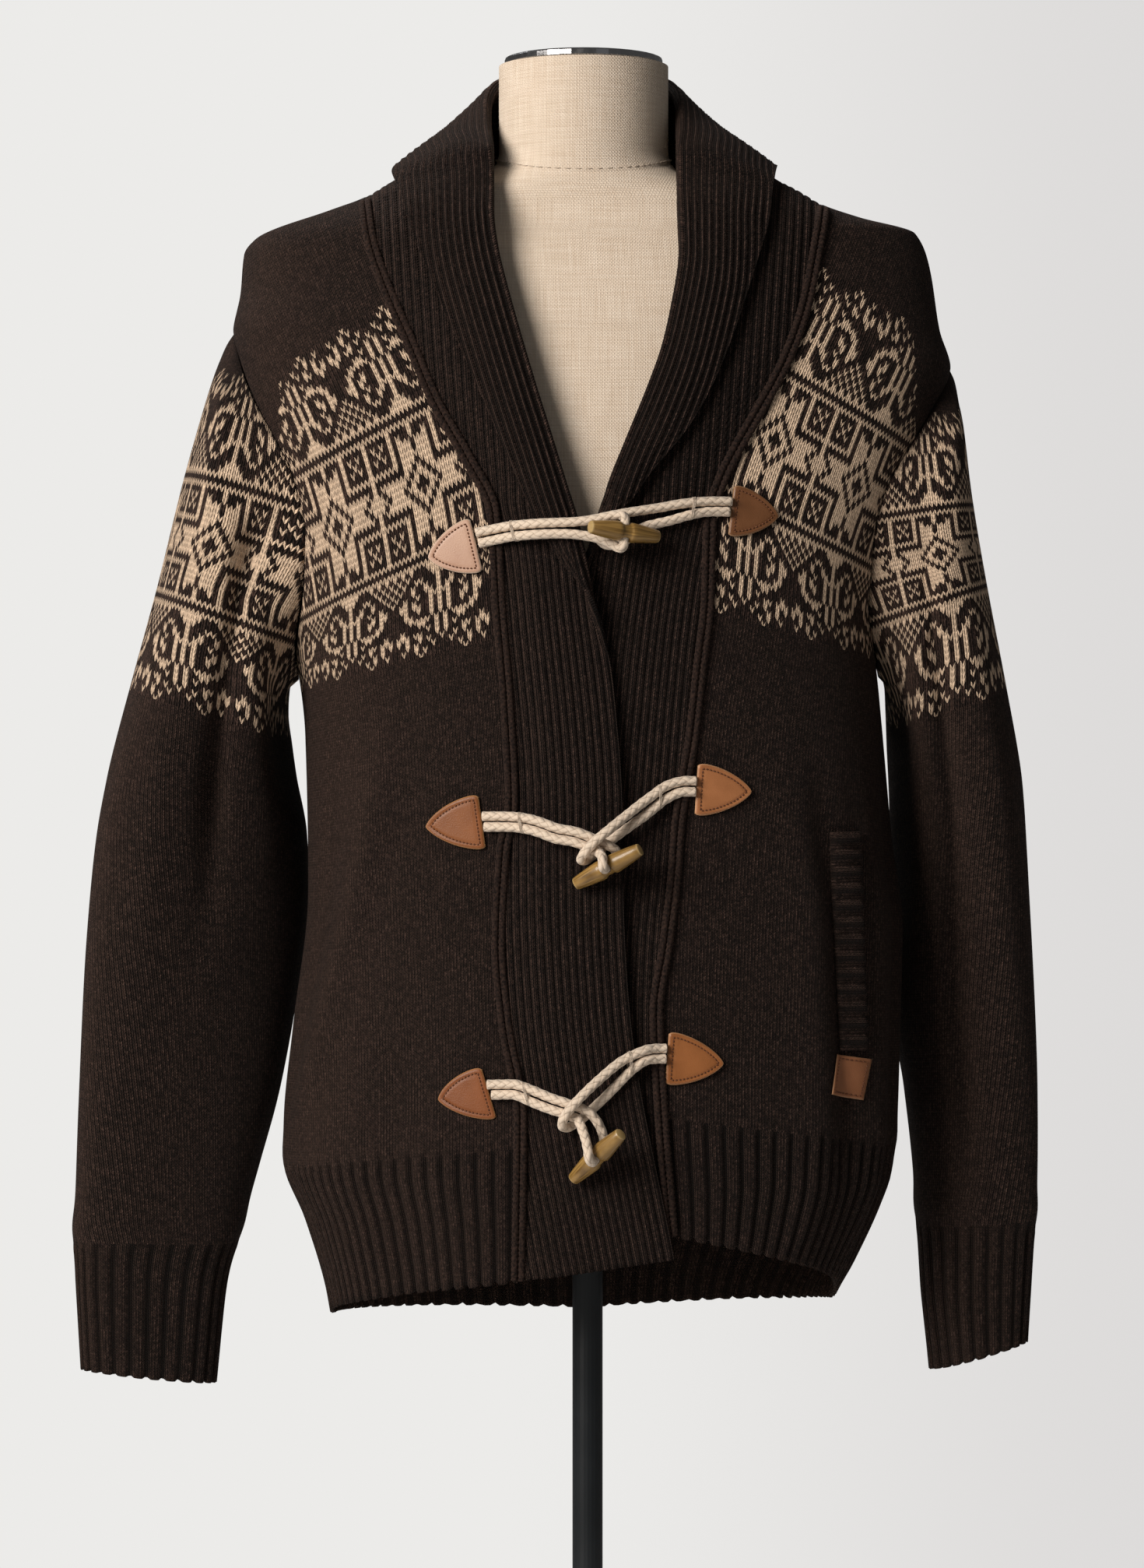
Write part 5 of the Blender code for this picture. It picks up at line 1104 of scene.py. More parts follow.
def tube(name, path, radius, sides, finish, bead=lambda along: 0 * along):
    """A round cord along a path, which bead makes swell along it."""
    path = np.asarray(path, float)
    way = unit(np.gradient(path, axis=0))
    along = run(path)
    side_way = np.empty_like(path)
    side_way[0] = unit(np.cross(way[0], (0.13, 0.97, 0.21)))
    for i in range(1, len(path)):
        side_way[i] = unit(side_way[i - 1] - way[i] * np.dot(side_way[i - 1], way[i]))
    other = np.cross(way, side_way)
    turn = np.linspace(0, math.tau, sides + 1)
    size = radius * (1 + bead(along))[:, None]
    points = (path[:, None] + side_way[:, None] * (np.cos(turn) * size)[..., None]
              + other[:, None] * (np.sin(turn) * size)[..., None])
    places = np.dstack(np.broadcast_arrays(turn / math.tau, along[:, None]))
    places = np.concatenate((corners(places).reshape(-1, 2), np.zeros((2 * sides, 2))))
    return solid(name, points[:, :-1].reshape(-1, 3), round_faces(len(path), sides),
                 {"round and along": places}, finish)


def joined(name, things):
    """Several meshes of one finish as one piece."""
    bpy.ops.object.select_all(action="DESELECT")
    for thing in things:
        thing.select_set(True)
    bpy.context.view_layer.objects.active = things[0]
    bpy.ops.object.join()
    things[0].name = things[0].data.name = name
    return things[0]


# the yarn of the chain, without stitches of its own
yarn, tree, shader = material("linking yarn, lambswool")
place = add(tree, "TexCoord").outputs["Object"]
hairs = add(tree, "TexNoise", {"Vector": place, "Scale": 700.0, "Detail": 4.0})
shades = add(tree, "ValToRGB", (hairs,))
for stop, at, shade in zip(shades.color_ramp.elements, (0.35, 0.75), ("#0d0807", "#3c2c25")):
    stop.position, stop.color = at, linear(shade)
bump = add(tree, "Bump", {"Height": hairs, "Strength": 0.7, "Distance": 0.0008})
feed(shader, {"Base Color": shades, "Normal": bump, "Roughness": 0.95, "Specular IOR Level": 0.2,
              "Sheen Weight": 0.22, "Sheen Tint": linear("#86695b")})

for side, word in ((RIGHT, "right"), (LEFT, "left")):
    strands = []
    course = np.linspace(0.02, TIP - 0.3, 700)
    turn, height = seam_turn(side, course), look_up(COURSES[side], "seam", course)
    sunk = CHAIN_LIFT - CHAIN_SINKS * ease((course - TIP + 1.6) / 1.2)
    middle = body(turn, height, sunk)
    out = unit(body(turn, height, 0.002) - middle)
    across = unit(np.cross(out, np.gradient(middle, axis=0)))
    for offset in (-CHAIN_APART, CHAIN_APART):
        strands.append(tube("strand", middle + across * offset, CHAIN_RADIUS, 8, yarn,
                            lambda along: CHAIN_SWELL * np.cos(math.tau * along / CHAIN_LOOP)))
    joined("band_seam_" + word, strands)

# ---------------------------------------------------------------- the pocket and the patch
# The pocket's opening is finished with a narrow welt, knitted sideways in ridges and sewn down at
# both ends. Under it sits a small leather patch, sewn on all round. It is left bare.
# both: the middles of their ends, and the ways from there to the corners
WELT = ((0.1567, 0.8906), (0.1625, 0.7571), (0.0084, 0), (0.0066, 0))
PATCH = ((0.1628, 0.7531), (0.1575, 0.7286), (0.0094, -0.0019), (0.0104, -0.0024))
WELT_RIDGES = 13
WELT_FLAT, WELT_ROUND, WELT_RELIEF = 0.0019, 0.0016, 0.0030   # its edge, middle and ridges
REST_GAP = 0.0007        # between the knit and what is sewn on it


def strip_grid(start, end, start_half, end_half, rows, columns):
    """Places on the front over a four-sided strip, as rows from its start to its end."""
    start, end, start_half, end_half = np.array((start, end, start_half, end_half), float)
    u, v = np.linspace(0, 1, rows + 1)[:, None, None], np.linspace(-1, 1, columns + 1)[:, None]
    return start + (end - start) * u + (start_half + (end_half - start_half) * u) * v


steps = WELT_RIDGES * 9
spot = strip_grid(*WELT, steps, 18)
u, v = np.linspace(0, 1, steps + 1)[:, None], np.linspace(-1, 1, 19)[None, :]
ridge = 1 - np.abs(np.cos(math.pi * WELT_RIDGES * u)) ** 3
fall_off = np.sqrt(np.clip(1 - np.abs(v) ** 4, 0, 1))
ridge_rise = WELT_RELIEF * ridge * fall_off * ease((1 - v) / 0.5 + 0.4)
rise = WELT_FLAT + ridge_rise + WELT_ROUND * fall_off
top = on_front(spot[..., 0], spot[..., 1], REST_GAP + rise)
under = on_front(spot[..., 0], spot[..., 1], REST_GAP)
ridges, across = u * WELT_RIDGES, v * 4.5
welt = Patch(top, under, ridges * 5, across, ridges, across, 5.0, steps)
welt = cloth("welt_knit_left", [welt], rib_knit)
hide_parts("pocket_welt_left")


# Vegetable-tanned cowhide, oiled, dyed tan and cut with a die: its cut edge is paler, and its face
# is smooth with fine grain and pores, clouded by the dye.
def leather(name, face, deep, edge):
    """Tan leather in a piece's own shades: its face, a darker tone clouded through it, and its cut
    edge.
    """
    made, tree, shader = material(name)
    place = add(tree, "TexCoord").outputs["Object"]
    cloud = add(tree, "TexNoise", {"Vector": place, "Scale": 55.0, "Detail": 4.0})
    tone = add(tree, "ValToRGB", (cloud,))
    for stop, at, shade in zip(tone.color_ramp.elements, (0.3, 0.7), (deep, face)):
        stop.position, stop.color = at, linear(shade)
    inset = add(tree, "SeparateXYZ", (add(tree, "UVMap", uv_map="inset"),))
    cut = add(tree, "MapRange", (inset, 0.0, 0.0009, 1.0, 0.0))
    shown = add(tree, "Mix", {0: cut, 6: tone, 7: linear(edge)}, data_type="RGBA")
    grain = add(tree, "TexVoronoi", {"Vector": place, "Scale": 900.0}, feature="DISTANCE_TO_EDGE")
    pores = add(tree, "TexNoise", {"Vector": place, "Scale": 1500.0, "Detail": 2.0})
    both = add(tree, "Math", (grain, 0.7, pores), "MULTIPLY_ADD")
    bump = add(tree, "Bump", {"Height": both, "Strength": 0.22, "Distance": 0.0005})
    rough = add(tree, "MapRange", (cloud, 0.3, 0.7, 0.34, 0.5))
    feed(shader, {"Base Color": shown, "Normal": bump, "Roughness": rough,
                  "Specular IOR Level": 0.4})
    return made


# dark brown waxed polyester thread, in a saddle stitch
thread, tree, shader = material("waxed thread")
place = add(tree, "TexCoord").outputs["Object"]
twist = add(tree, "TexWave", {"Vector": place, "Scale": 900.0, "Distortion": 1.0},
            bands_direction="DIAGONAL")
tone = add(tree, "Mix", {0: twist.outputs["Fac"], 6: linear("#4a2713"), 7: linear("#7a4724")},
           data_type="RGBA")
feed(shader, {"Base Color": tone, "Roughness": 0.55})


def outline(grid):
    """The points round the outside of a grid, back to the first."""
    return np.concatenate((grid[0], grid[1:, -1], grid[-1, ::-1][1:], grid[::-1, 0][1:]))


THREAD_RADIUS = 0.00042
STITCH_SHARE = 0.62      # of its spacing that a stitch shows
EDGE_ROUND = 0.0008      # width of the leather's rounded edge
STITCH_DIP, DIP_HALF = 0.00035, 0.0007   # the dent along its stitches: how deep and wide


def sewn_leather(name, grid, thickness, finish, inset, spacing):
    """A leather piece from its places on the front, with rounded edges and a line of stitches."""
    x, z = grid[..., 0], grid[..., 1]
    flat = on_front(x, z, REST_GAP)
    # how far each point lies in from the outline
    near = np.linalg.norm(flat[:, :, None] - outline(flat), axis=-1).min(axis=-1)
    lip = np.sqrt(np.clip(1 - (1 - np.clip(near / EDGE_ROUND, 0, 1)) ** 2, 0, 1))
    dip = STITCH_DIP * np.exp(-((near - inset) / DIP_HALF) ** 2)
    top = on_front(x, z, REST_GAP + thickness * (0.55 + 0.45 * lip) - dip)
    quads = corners(np.arange(near.size).reshape(near.shape)).reshape(-1, 4)
    faces = walled(quads, near.size)[0]
    insets = np.append(near, 0 * near)[faces]
    thing = solid(name, np.concatenate((top.reshape(-1, 3), flat.reshape(-1, 3))),
                  faces.tolist(), {"inset": np.stack((insets, 0 * insets), axis=-1)}, finish)
    # the grid's columns meet at a tab's tip
    made = bmesh.new()
    made.from_mesh(thing.data)
    bmesh.ops.remove_doubles(made, verts=made.verts, dist=0.00002)
    bmesh.ops.recalc_face_normals(made, faces=made.faces)
    made.to_mesh(thing.data)
    made.free()
    # the stitches lie along a line drawn in from the outline
    edge = outline(grid)
    edge = edge[np.append(True, np.linalg.norm(np.diff(edge, axis=0), axis=1) > 1e-7)]
    way = unit(np.roll(edge, -1, axis=0) - np.roll(edge, 1, axis=0))
    inward = np.stack((-way[:, 1], way[:, 0]), axis=1)
    centre = grid.reshape(-1, 2).mean(axis=0)
    inward = inward * np.sign(np.sum(inward * (centre - edge), axis=1, keepdims=True))
    line = edge + inward * inset
    line = line[np.linalg.norm(line[:, None] - edge, axis=-1).min(axis=1) > inset * 0.93]
    line = np.concatenate((line, line[:1]))
    along = run(line)
    number = round(along[-1] / spacing)
    lifts = REST_GAP + thickness + np.array((-0.0006, 0, 0.0002, 0, -0.0006))
    stitches = []
    for k in range(number):
        at = (k + np.array((0.08, 0.25, 0.5, 0.75, 0.92)) * STITCH_SHARE) / number
        px, pz = (np.interp(along[-1] * at, along, column) for column in line.T)
        stitches.append(tube("stitch", on_front(px, pz, lifts), THREAD_RADIUS, 6, thread))
    joined(name + "_stitching", stitches)
    return thing


patch_leather = leather("tan cowhide, patch", "#a86f4c", "#915e3e", "#a67a58")
patch = sewn_leather("patch_leather_left", strip_grid(*PATCH, 24, 18), thickness=0.0012,
                     finish=patch_leather, inset=0.0022, spacing=0.0021)
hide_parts("patch_left")

# ---------------------------------------------------------------- the tabs
# Leather shields that cover the ends of the cords, cut with a straight edge towards the middle and
# two curved edges to a rounded tip, and saddle-stitched all round. Each took the dye differently,
# and the top one on the wearer's left has browns darkened by painted shade.
Tab = namedtuple("Tab", "name upper lower tip face deep edge")
TABS = table(Tab,
    ("tab_top_right", (-0.0714, 1.0808), (-0.0634, 1.0479), (-0.0963, 1.0568),
     "#caa58d", "#b9917a", "#e0cbb6"),
    # painted shade: this tab's browns are its tan darkened for the shade that it lies in
    ("tab_top_left", (0.088, 1.101), (0.0842, 1.0695), (0.1148, 1.0822),
     "#7e5233", "#6a4428", "#a5805f"),
    ("tab_middle_right", (-0.0662, 0.9139), (-0.0615, 0.8805), (-0.0977, 0.8941),
     "#8f562c", "#7c4823", "#b8895c"),
    ("tab_middle_left", (0.0659, 0.9327), (0.064, 0.9007), (0.0983, 0.9153),
     "#b3764a", "#9c643d", "#cfa078"),
    ("tab_bottom_right", (-0.0643, 0.7494), (-0.0549, 0.7179), (-0.0907, 0.7292),
     "#8c5129", "#794421", "#b58458"),
    ("tab_bottom_left", (0.0485, 0.771), (0.0461, 0.7386), (0.0814, 0.7512),
     "#a06436", "#8a552d", "#c0916a"))


def tab_grid(tab, rows, columns):
    """Places on the front over a tab, as rows from its straight edge to its tip."""
    upper, lower, tip = (np.array(at) for at in (tab.upper, tab.lower, tab.tip))
    base = (upper + lower) / 2
    share = np.sin(np.linspace(0, 1, rows + 1) * math.pi / 2)
    corner = 1 - 0.10 * np.exp(-share / 0.05)
    width = np.clip(1 - share ** 1.75, 0, None) ** 0.72 * corner
    v = np.linspace(-1, 1, columns + 1)
    return (base + (tip - base) * share[:, None, None]
            + ((upper - lower) / 2) * (width[:, None] * v)[..., None])


for tab in TABS:
    finish = leather("tan cowhide, " + tab.name.replace("_", " "), tab.face, tab.deep, tab.edge)
    piece = sewn_leather(tab.name + "_leather", tab_grid(tab, 36, 26), thickness=0.0018,
                         finish=finish, inset=0.0030, spacing=0.0022)
    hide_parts(tab.name)

# ---------------------------------------------------------------- the toggles
# Turned from horn-coloured hardwood and lacquered: two tapered ends with a groove for the cord
# between them, and a hole drilled through the groove. Each hangs in its cord.
Toggle = namedtuple("Toggle", "name x z lift heading out upright")
TOGGLES = table(Toggle,
    ("toggle_top", 0.0206, 1.0688, 0.022, 176.5, 27.0, True),
    ("toggle_middle", 0.0113, 0.8706, 0.0175, 29.0, 20.6, False),
    ("toggle_bottom", 0.005, 0.6972, 0.0205, 45.8, 30.5, False))
HOLE_RADIUS = 0.0033
# radius and distance from the middle, from one end to the groove
TURNING = ((0.0031, 0.0235), (0.0036, 0.0233), (0.0039, 0.0227), (0.0046, 0.0180), (0.0052, 0.0130),
           (0.0057, 0.0090), (0.0060, 0.0060), (0.0060, 0.0041), (0.0058, 0.0036), (0.0052, 0.0029),
           (0.0050, 0.0024))


def toggle_frame(toggle):
    """A toggle's middle, and its side, hole and axis directions."""
    middle = on_front(toggle.x, toggle.z, toggle.lift)
    out = outward(front_turn(toggle.x, toggle.z), toggle.z)
    heading, steep = math.radians(toggle.heading), math.radians(toggle.out)
    flat = np.array((math.cos(heading), 0.0, math.sin(heading)))
    flat = unit(flat - out * np.dot(flat, out))
    axis = flat * math.cos(steep) + out * math.sin(steep)
    if toggle.upright:
        hole = unit(np.cross(axis, out))
        hole = hole * -np.sign(hole[2])
    else:
        hole = out * math.cos(steep) - flat * math.sin(steep)
    return middle, np.cross(hole, axis), hole, axis


# lacquered boxwood: olive gold, with long darker streaks along it, and paler at its worn ends
horn, tree, shader = material("lacquered boxwood")
axes = add(tree, "UVMap", uv_map="turned")
apart = add(tree, "SeparateXYZ", (axes,))
stretched = add(tree, "VectorMath", (axes, (5.0, 42.0, 1.0)), "MULTIPLY")
streaks = add(tree, "TexNoise",
              {"Vector": stretched, "Scale": 1.0, "Detail": 5.0, "Distortion": 0.4})
tone = add(tree, "ValToRGB", (streaks,))
for stop, at, shade in zip(tone.color_ramp.elements, (0.32, 0.68), ("#66491b", "#a98548")):
    stop.position, stop.color = at, linear(shade)
end_rim = add(tree, "Math", (apart.outputs[1],), "ABSOLUTE")
worn = add(tree, "MapRange", (end_rim, 0.0222, 0.0232, 0.0, 0.65))
shown = add(tree, "Mix", {0: worn, 6: tone, 7: linear("#c2a772")}, data_type="RGBA")
rough = add(tree, "MapRange", (streaks, 0.3, 0.7, 0.34, 0.48))
bump = add(tree, "Bump", {"Height": streaks, "Strength": 0.12, "Distance": 0.0004})
feed(shader, {"Base Color": shown, "Normal": bump, "Roughness": rough, "Coat Weight": 0.25,
              "Coat Roughness": 0.12})

for toggle in TOGGLES:
    bpy.ops.object.select_all(action="DESELECT")
    radius, far = TURNING[0]
    bpy.ops.mesh.primitive_circle_add(vertices=40, radius=radius, fill_type="NGON",
                                      location=(0, 0, far))
    turned = bpy.context.active_object
    bpy.ops.object.transform_apply(location=True, rotation=False, scale=False)
    bpy.ops.object.mode_set(mode="EDIT")
    bpy.ops.mesh.select_all(action="SELECT")
    for next_radius, next_far in TURNING[1:] + tuple((r, -f) for r, f in reversed(TURNING)):
        bpy.ops.mesh.extrude_region_move(TRANSFORM_OT_translate={"value": (0, 0, next_far - far)})
        share = next_radius / radius
        bpy.ops.transform.resize(value=(share, share, 1.0), center_override=(0.0, 0.0, next_far))
        radius, far = next_radius, next_far
    bpy.ops.mesh.select_all(action="SELECT")
    bpy.ops.mesh.normals_make_consistent(inside=False)
    bpy.ops.object.mode_set(mode="OBJECT")
    bpy.ops.mesh.primitive_cylinder_add(vertices=32, radius=HOLE_RADIUS, depth=0.02,
                                        rotation=(math.pi / 2, 0, 0), location=(0, 0, 0))
    drill = bpy.context.active_object
    bpy.ops.object.select_all(action="DESELECT")
    turned.select_set(True)
    bpy.context.view_layer.objects.active = turned
    bore = turned.modifiers.new("hole", "BOOLEAN")
    bore.operation, bore.solver, bore.object = "DIFFERENCE", "EXACT", drill
    soft = turned.modifiers.new("broken edges", "BEVEL")
    soft.width, soft.segments = 0.00025, 2
    soft.limit_method, soft.angle_limit = "ANGLE", math.radians(40)
    for modifier in ("hole", "broken edges"):
        bpy.ops.object.modifier_apply(modifier=modifier)
    bpy.data.objects.remove(drill)
    # the grain runs along the toggle: round it, and metres along it
    mesh = turned.data
    places = np.empty(len(mesh.vertices) * 3)
    mesh.vertices.foreach_get("co", places)
    places = places.reshape(-1, 3)
    loops = np.empty(len(mesh.loops), np.int64)
    mesh.loops.foreach_get("vertex_index", loops)
    layer = mesh.uv_layers.get("turned") or mesh.uv_layers.new(name="turned")
    grain = np.stack((np.sin(np.arctan2(places[:, 1], places[:, 0])), places[:, 2]), axis=-1)
    layer.data.foreach_set("uv", grain[loops].reshape(-1))
    middle, side, hole, axis = toggle_frame(toggle)
    where = places @ np.stack((side, hole, axis)) + middle
    mesh.vertices.foreach_set("co", where.reshape(-1))
    mesh.update()
    turned.name = mesh.name = toggle.name + "_turned"
    bpy.ops.object.shade_smooth_by_angle(angle=math.radians(38))
    mesh.materials.clear()
    mesh.materials.append(horn)
    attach(turned, "root")
    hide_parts(toggle.name)

# ---------------------------------------------------------------- the cords
# Round plaited cotton cord. Each one is folded in two, its ends are sewn down under the tab and
# whipped together beside it, and its bight holds the toggle or makes the loop that the toggle
# passes through. All of them are held at both ends.
Route = namedtuple("Route", "x z lift along", defaults=(None,))
CORD_RADIUS = 0.0029
PLAIT = 0.0062           # length in which a strand of the plait goes a quarter round

# where each cord passes as seen from the front, and its height off the body in mm, or how many mm
# along a toggle's hole
TOGGLE_CORDS = {
    "toggle_cord_top": table(Route,
        (-0.067, 1.0713, 3.4), (-0.056, 1.0732, 4.9), (-0.047, 1.0743, 8.2), (-0.038, 1.0746, 11.8),
        (-0.029, 1.0747, 15.0), (-0.019, 1.0748, 16.6), (-0.009, 1.075, 17.4), (0.0, 1.0759, 18.0),
        (0.008, 1.0774, 18.5), (0.015, 1.0786, 19.8), (0.0192, 1.0782, 21.4), (0, 0, 0, -8.0),
        (0, 0, 0, -5.0), (0, 0, 0, 5.0), (0, 0, 0, 8.0), (0.0184, 1.0598, 20.8),
        (0.0145, 1.0618, 18.8), (0.0085, 1.0648, 17.6), (0.0, 1.0668, 17.4), (-0.009, 1.068, 17.2),
        (-0.019, 1.0684, 16.2), (-0.029, 1.0683, 15.0), (-0.038, 1.0682, 11.8),
        (-0.047, 1.0678, 8.2), (-0.0555, 1.0666, 4.9), (-0.0652, 1.0649, 3.4)),
    "toggle_cord_middle": table(Route,
        (-0.063, 0.9006, 3.4), (-0.053, 0.9007, 4.4), (-0.044, 0.9004, 5.8), (-0.035, 0.8992, 8.0),
        (-0.0272, 0.897, 10.0), (-0.018, 0.8936, 12.2), (-0.007, 0.8915, 14.0),
        (0.0035, 0.8872, 14.4), (0.008, 0.8852, 14.4), (0.0128, 0.8826, 14.0),
        (0.016, 0.8803, 11.4), (0.0168, 0.8772, 8.8), (0.0158, 0.874, 8.2), (0, 0, 0, -6.5),
        (0, 0, 0, -4.0), (0, 0, 0, 4.0), (0, 0, 0, 7.5), (0.0082, 0.8708, 27.9),
        (0.008, 0.8742, 27.6), (0.0078, 0.8768, 24.0), (0.0066, 0.8786, 19.4),
        (0.0044, 0.8799, 16.0), (0.0009, 0.8815, 14.4), (-0.0085, 0.8854, 13.8),
        (-0.0195, 0.8874, 12.2), (-0.0285, 0.8908, 10.0), (-0.036, 0.8929, 8.0),
        (-0.044, 0.894, 5.8), (-0.053, 0.8942, 4.4), (-0.062, 0.8941, 3.4)),
    "toggle_cord_bottom": table(Route,
        (-0.0602, 0.7389, 3.4), (-0.051, 0.7392, 4.2), (-0.0425, 0.7391, 5.8),
        (-0.0318, 0.7355, 8.6), (-0.0214, 0.7314, 11.6), (-0.013, 0.7288, 13.9),
        (-0.008, 0.7269, 14.4), (-0.0035, 0.7252, 14.4), (0.0012, 0.7225, 14.3),
        (0.0052, 0.7175, 13.2), (0.0076, 0.7125, 11.4), (0.009, 0.7075, 10.0),
        (0.0093, 0.7036, 10.4), (0, 0, 0, -8.0), (0, 0, 0, -4.5), (0, 0, 0, 4.5), (0, 0, 0, 8.0),
        (0.0006, 0.696, 31.2), (0.0, 0.6992, 31.6), (-0.0006, 0.7033, 29.6),
        (-0.0016, 0.7078, 26.0), (-0.0031, 0.7122, 21.4), (-0.0048, 0.7166, 17.6),
        (-0.0068, 0.7196, 15.2), (-0.0101, 0.7208, 14.4), (-0.0152, 0.7226, 13.6),
        (-0.0236, 0.7252, 11.6), (-0.0338, 0.729, 8.6), (-0.043, 0.7327, 5.8), (-0.05, 0.7329, 4.2),
        (-0.0576, 0.7326, 3.4)),
}
LOOP_CORDS = {
    "loop_cord_top": table(Route,
        (0.0858, 1.0904, 3.4), (0.0708, 1.0899, 5.2), (0.056, 1.088, 7.4), (0.0424, 1.0852, 8.6),
        (0.03, 1.0828, 10.8), (0.0205, 1.081, 12.3), (0.013, 1.0792, 12.3), (0.0075, 1.0762, 12.2),
        (0.005, 1.0715, 12.0), (0.0062, 1.0662, 11.6), (0.011, 1.0628, 10.6), (0.018, 1.0633, 9.6),
        (0.0255, 1.0682, 9.0), (0.0325, 1.0733, 8.4), (0.04, 1.0756, 7.8), (0.0481, 1.0776, 7.2),
        (0.06, 1.0812, 6.4), (0.0708, 1.0836, 4.8), (0.0846, 1.0841, 3.4)),
    "loop_cord_middle": table(Route,
        (0.0644, 0.9219, 3.4), (0.0563, 0.9218, 3.6), (0.0468, 0.919, 4.6), (0.0385, 0.9135, 6.5),
        (0.0301, 0.9074, 9.6), (0.0225, 0.9015, 13.6), (0.0158, 0.8962, 17.5),
        (0.0105, 0.8918, 20.2), (0.0055, 0.8876, 20.7), (0.0005, 0.8825, 20.6),
        (-0.0028, 0.8782, 18.6), (-0.0042, 0.8749, 14.5), (-0.002, 0.8742, 10.4),
        (0.0025, 0.877, 8.1), (0.0075, 0.8812, 7.9), (0.013, 0.8858, 7.9), (0.0193, 0.8907, 7.9),
        (0.0265, 0.896, 7.4), (0.0337, 0.901, 6.0), (0.0405, 0.9065, 4.8), (0.0468, 0.9112, 4.0),
        (0.0551, 0.915, 3.6), (0.064, 0.9153, 3.4)),
    "loop_cord_bottom": table(Route,
        (0.0466, 0.7607, 3.4), (0.042, 0.7608, 4.0), (0.038, 0.7606, 5.6), (0.0323, 0.7595, 8.2),
        (0.0216, 0.7547, 10.0), (0.015, 0.7503, 12.5), (0.0087, 0.745, 15.0), (0.002, 0.739, 18.0),
        (-0.0045, 0.7325, 20.3), (-0.009, 0.7275, 20.7), (-0.0128, 0.7225, 20.3),
        (-0.015, 0.7178, 18.0), (-0.0148, 0.7145, 14.2), (-0.0118, 0.714, 10.2),
        (-0.007, 0.7165, 8.1), (-0.002, 0.7205, 7.9), (0.004, 0.7262, 7.9), (0.013, 0.735, 7.9),
        (0.0237, 0.7462, 7.9), (0.03, 0.7514, 7.9), (0.035, 0.754, 6.6), (0.04, 0.7545, 4.6),
        (0.0462, 0.7545, 3.4)),
}

# undyed cotton, plaited from eight strands that pass over and under each other
cotton, tree, shader = material("plaited cotton")
place = add(tree, "TexCoord").outputs["Object"]
apart = add(tree, "SeparateXYZ", (add(tree, "UVMap", uv_map="round and along"),))
turns = add(tree, "Math", (apart.outputs[0], 4.0), "MULTIPLY")
strokes = add(tree, "Math", (apart.outputs[1], PLAIT), "DIVIDE")
rising = add(tree, "Math", (turns, strokes), "ADD")
falling = add(tree, "Math", (turns, strokes), "SUBTRACT")
waves = []
for way in (rising, falling):
    angle = add(tree, "Math", (way, math.pi), "MULTIPLY")
    waves.append(add(tree, "Math", (angle,), "SINE"))
over = add(tree, "Math", waves, "MULTIPLY")
first, second = (add(tree, "Math", (wave,), "ABSOLUTE") for wave in waves)
top = add(tree, "Math", (over, 0.0), "GREATER_THAN")
strand = add(tree, "Mix", {0: top, 2: first, 3: second})
round_off = add(tree, "Math", (strand, 0.6), "POWER")
fuzz = add(tree, "TexNoise", {"Vector": place, "Scale": 1600.0, "Detail": 2.0})
# painted shade: the cord is darker down between its strands and palest on their crowns
tone = add(tree, "ValToRGB", (round_off,))
for stop, at, shade in zip(tone.color_ramp.elements, (0.1, 0.75), ("#b19a84", "#efdfcd")):
    stop.position, stop.color = at, linear(shade)
lint = add(tree, "Mix", {0: fuzz, 6: tone, 7: linear("#dcc7b0")}, data_type="RGBA")
fibres = add(tree, "Math", (fuzz, 0.25, round_off), "MULTIPLY_ADD")
bump = add(tree, "Bump", {"Height": fibres, "Strength": 0.7, "Distance": 0.0009})
feed(shader, {"Base Color": lint, "Normal": bump, "Roughness": 0.88, "Specular IOR Level": 0.25,
              "Sheen Weight": 0.2})


def cord_path(route, toggle, steps):
    """A smooth curve through a cord's route."""
    middle, _, hole, _ = toggle_frame(toggle)
    through = np.array([on_front(p.x, p.z, p.lift / 1000) if p.along is None
                        else middle + hole * p.along / 1000 for p in route])
    return finer(through, np.linspace(0, len(through) - 1, (len(through) - 1) * steps + 1))


def braid_swell(along):
    """The plait's outline, which swells a little at each strand."""
    return 0.035 * np.cos(math.tau * along / PLAIT)


WHIPPING = (0.024, 0.0245)   # metres along a cord from its end, on toggle and loop cords
TURN_RADIUS, TURN_APART = 0.00028, 0.0007    # of the sewing thread's turns
WHIP_HALF = CORD_RADIUS + 0.0002             # from a cord's middle to the thread's
for toggle, *cords in zip(TOGGLES, TOGGLE_CORDS.items(), LOOP_CORDS.items()):
    for (name, route), whipped in zip(cords, WHIPPING):
        path = cord_path(route, toggle, 9)
        cord = tube(name + "_plait", path, CORD_RADIUS, 16, cotton, braid_swell)
        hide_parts(name)
        # a few turns of sewing thread hold the two halves together beside the tab
        far = run(path)
        near, ahead, away = (np.array([np.interp(at, far, column) for column in path.T])
                             for at in (whipped, whipped + 0.002, far[-1] - whipped))
        across, ahead = away - near, unit(ahead - near)
        half = np.linalg.norm(across) / 2 + WHIP_HALF
        c, s = np.cos(np.linspace(0, math.tau, 29)), np.sin(np.linspace(0, math.tau, 29))
        up = unit(np.cross(across, ahead))
        loop = (np.outer(np.sign(c) * np.abs(c) ** 0.8 * half, unit(across))
                + np.outer(np.sign(s) * np.abs(s) ** 0.55 * WHIP_HALF, up))
        turns = []
        for k in (-1, 0, 1):
            centre = (near + away) / 2 + ahead * k * TURN_APART
            turns.append(tube("turn", centre + loop, TURN_RADIUS, 6, cotton))
        joined(name + "_whipping", turns)

# ---------------------------------------------------------------- the dress form
# A limbless hard shell of pressed paper, covered in undyed linen that is sewn from panels and
# glued down. A seam runs round the base of its neck, which ends in a black cap.
Form = namedtuple("Form", "height half front back worn")
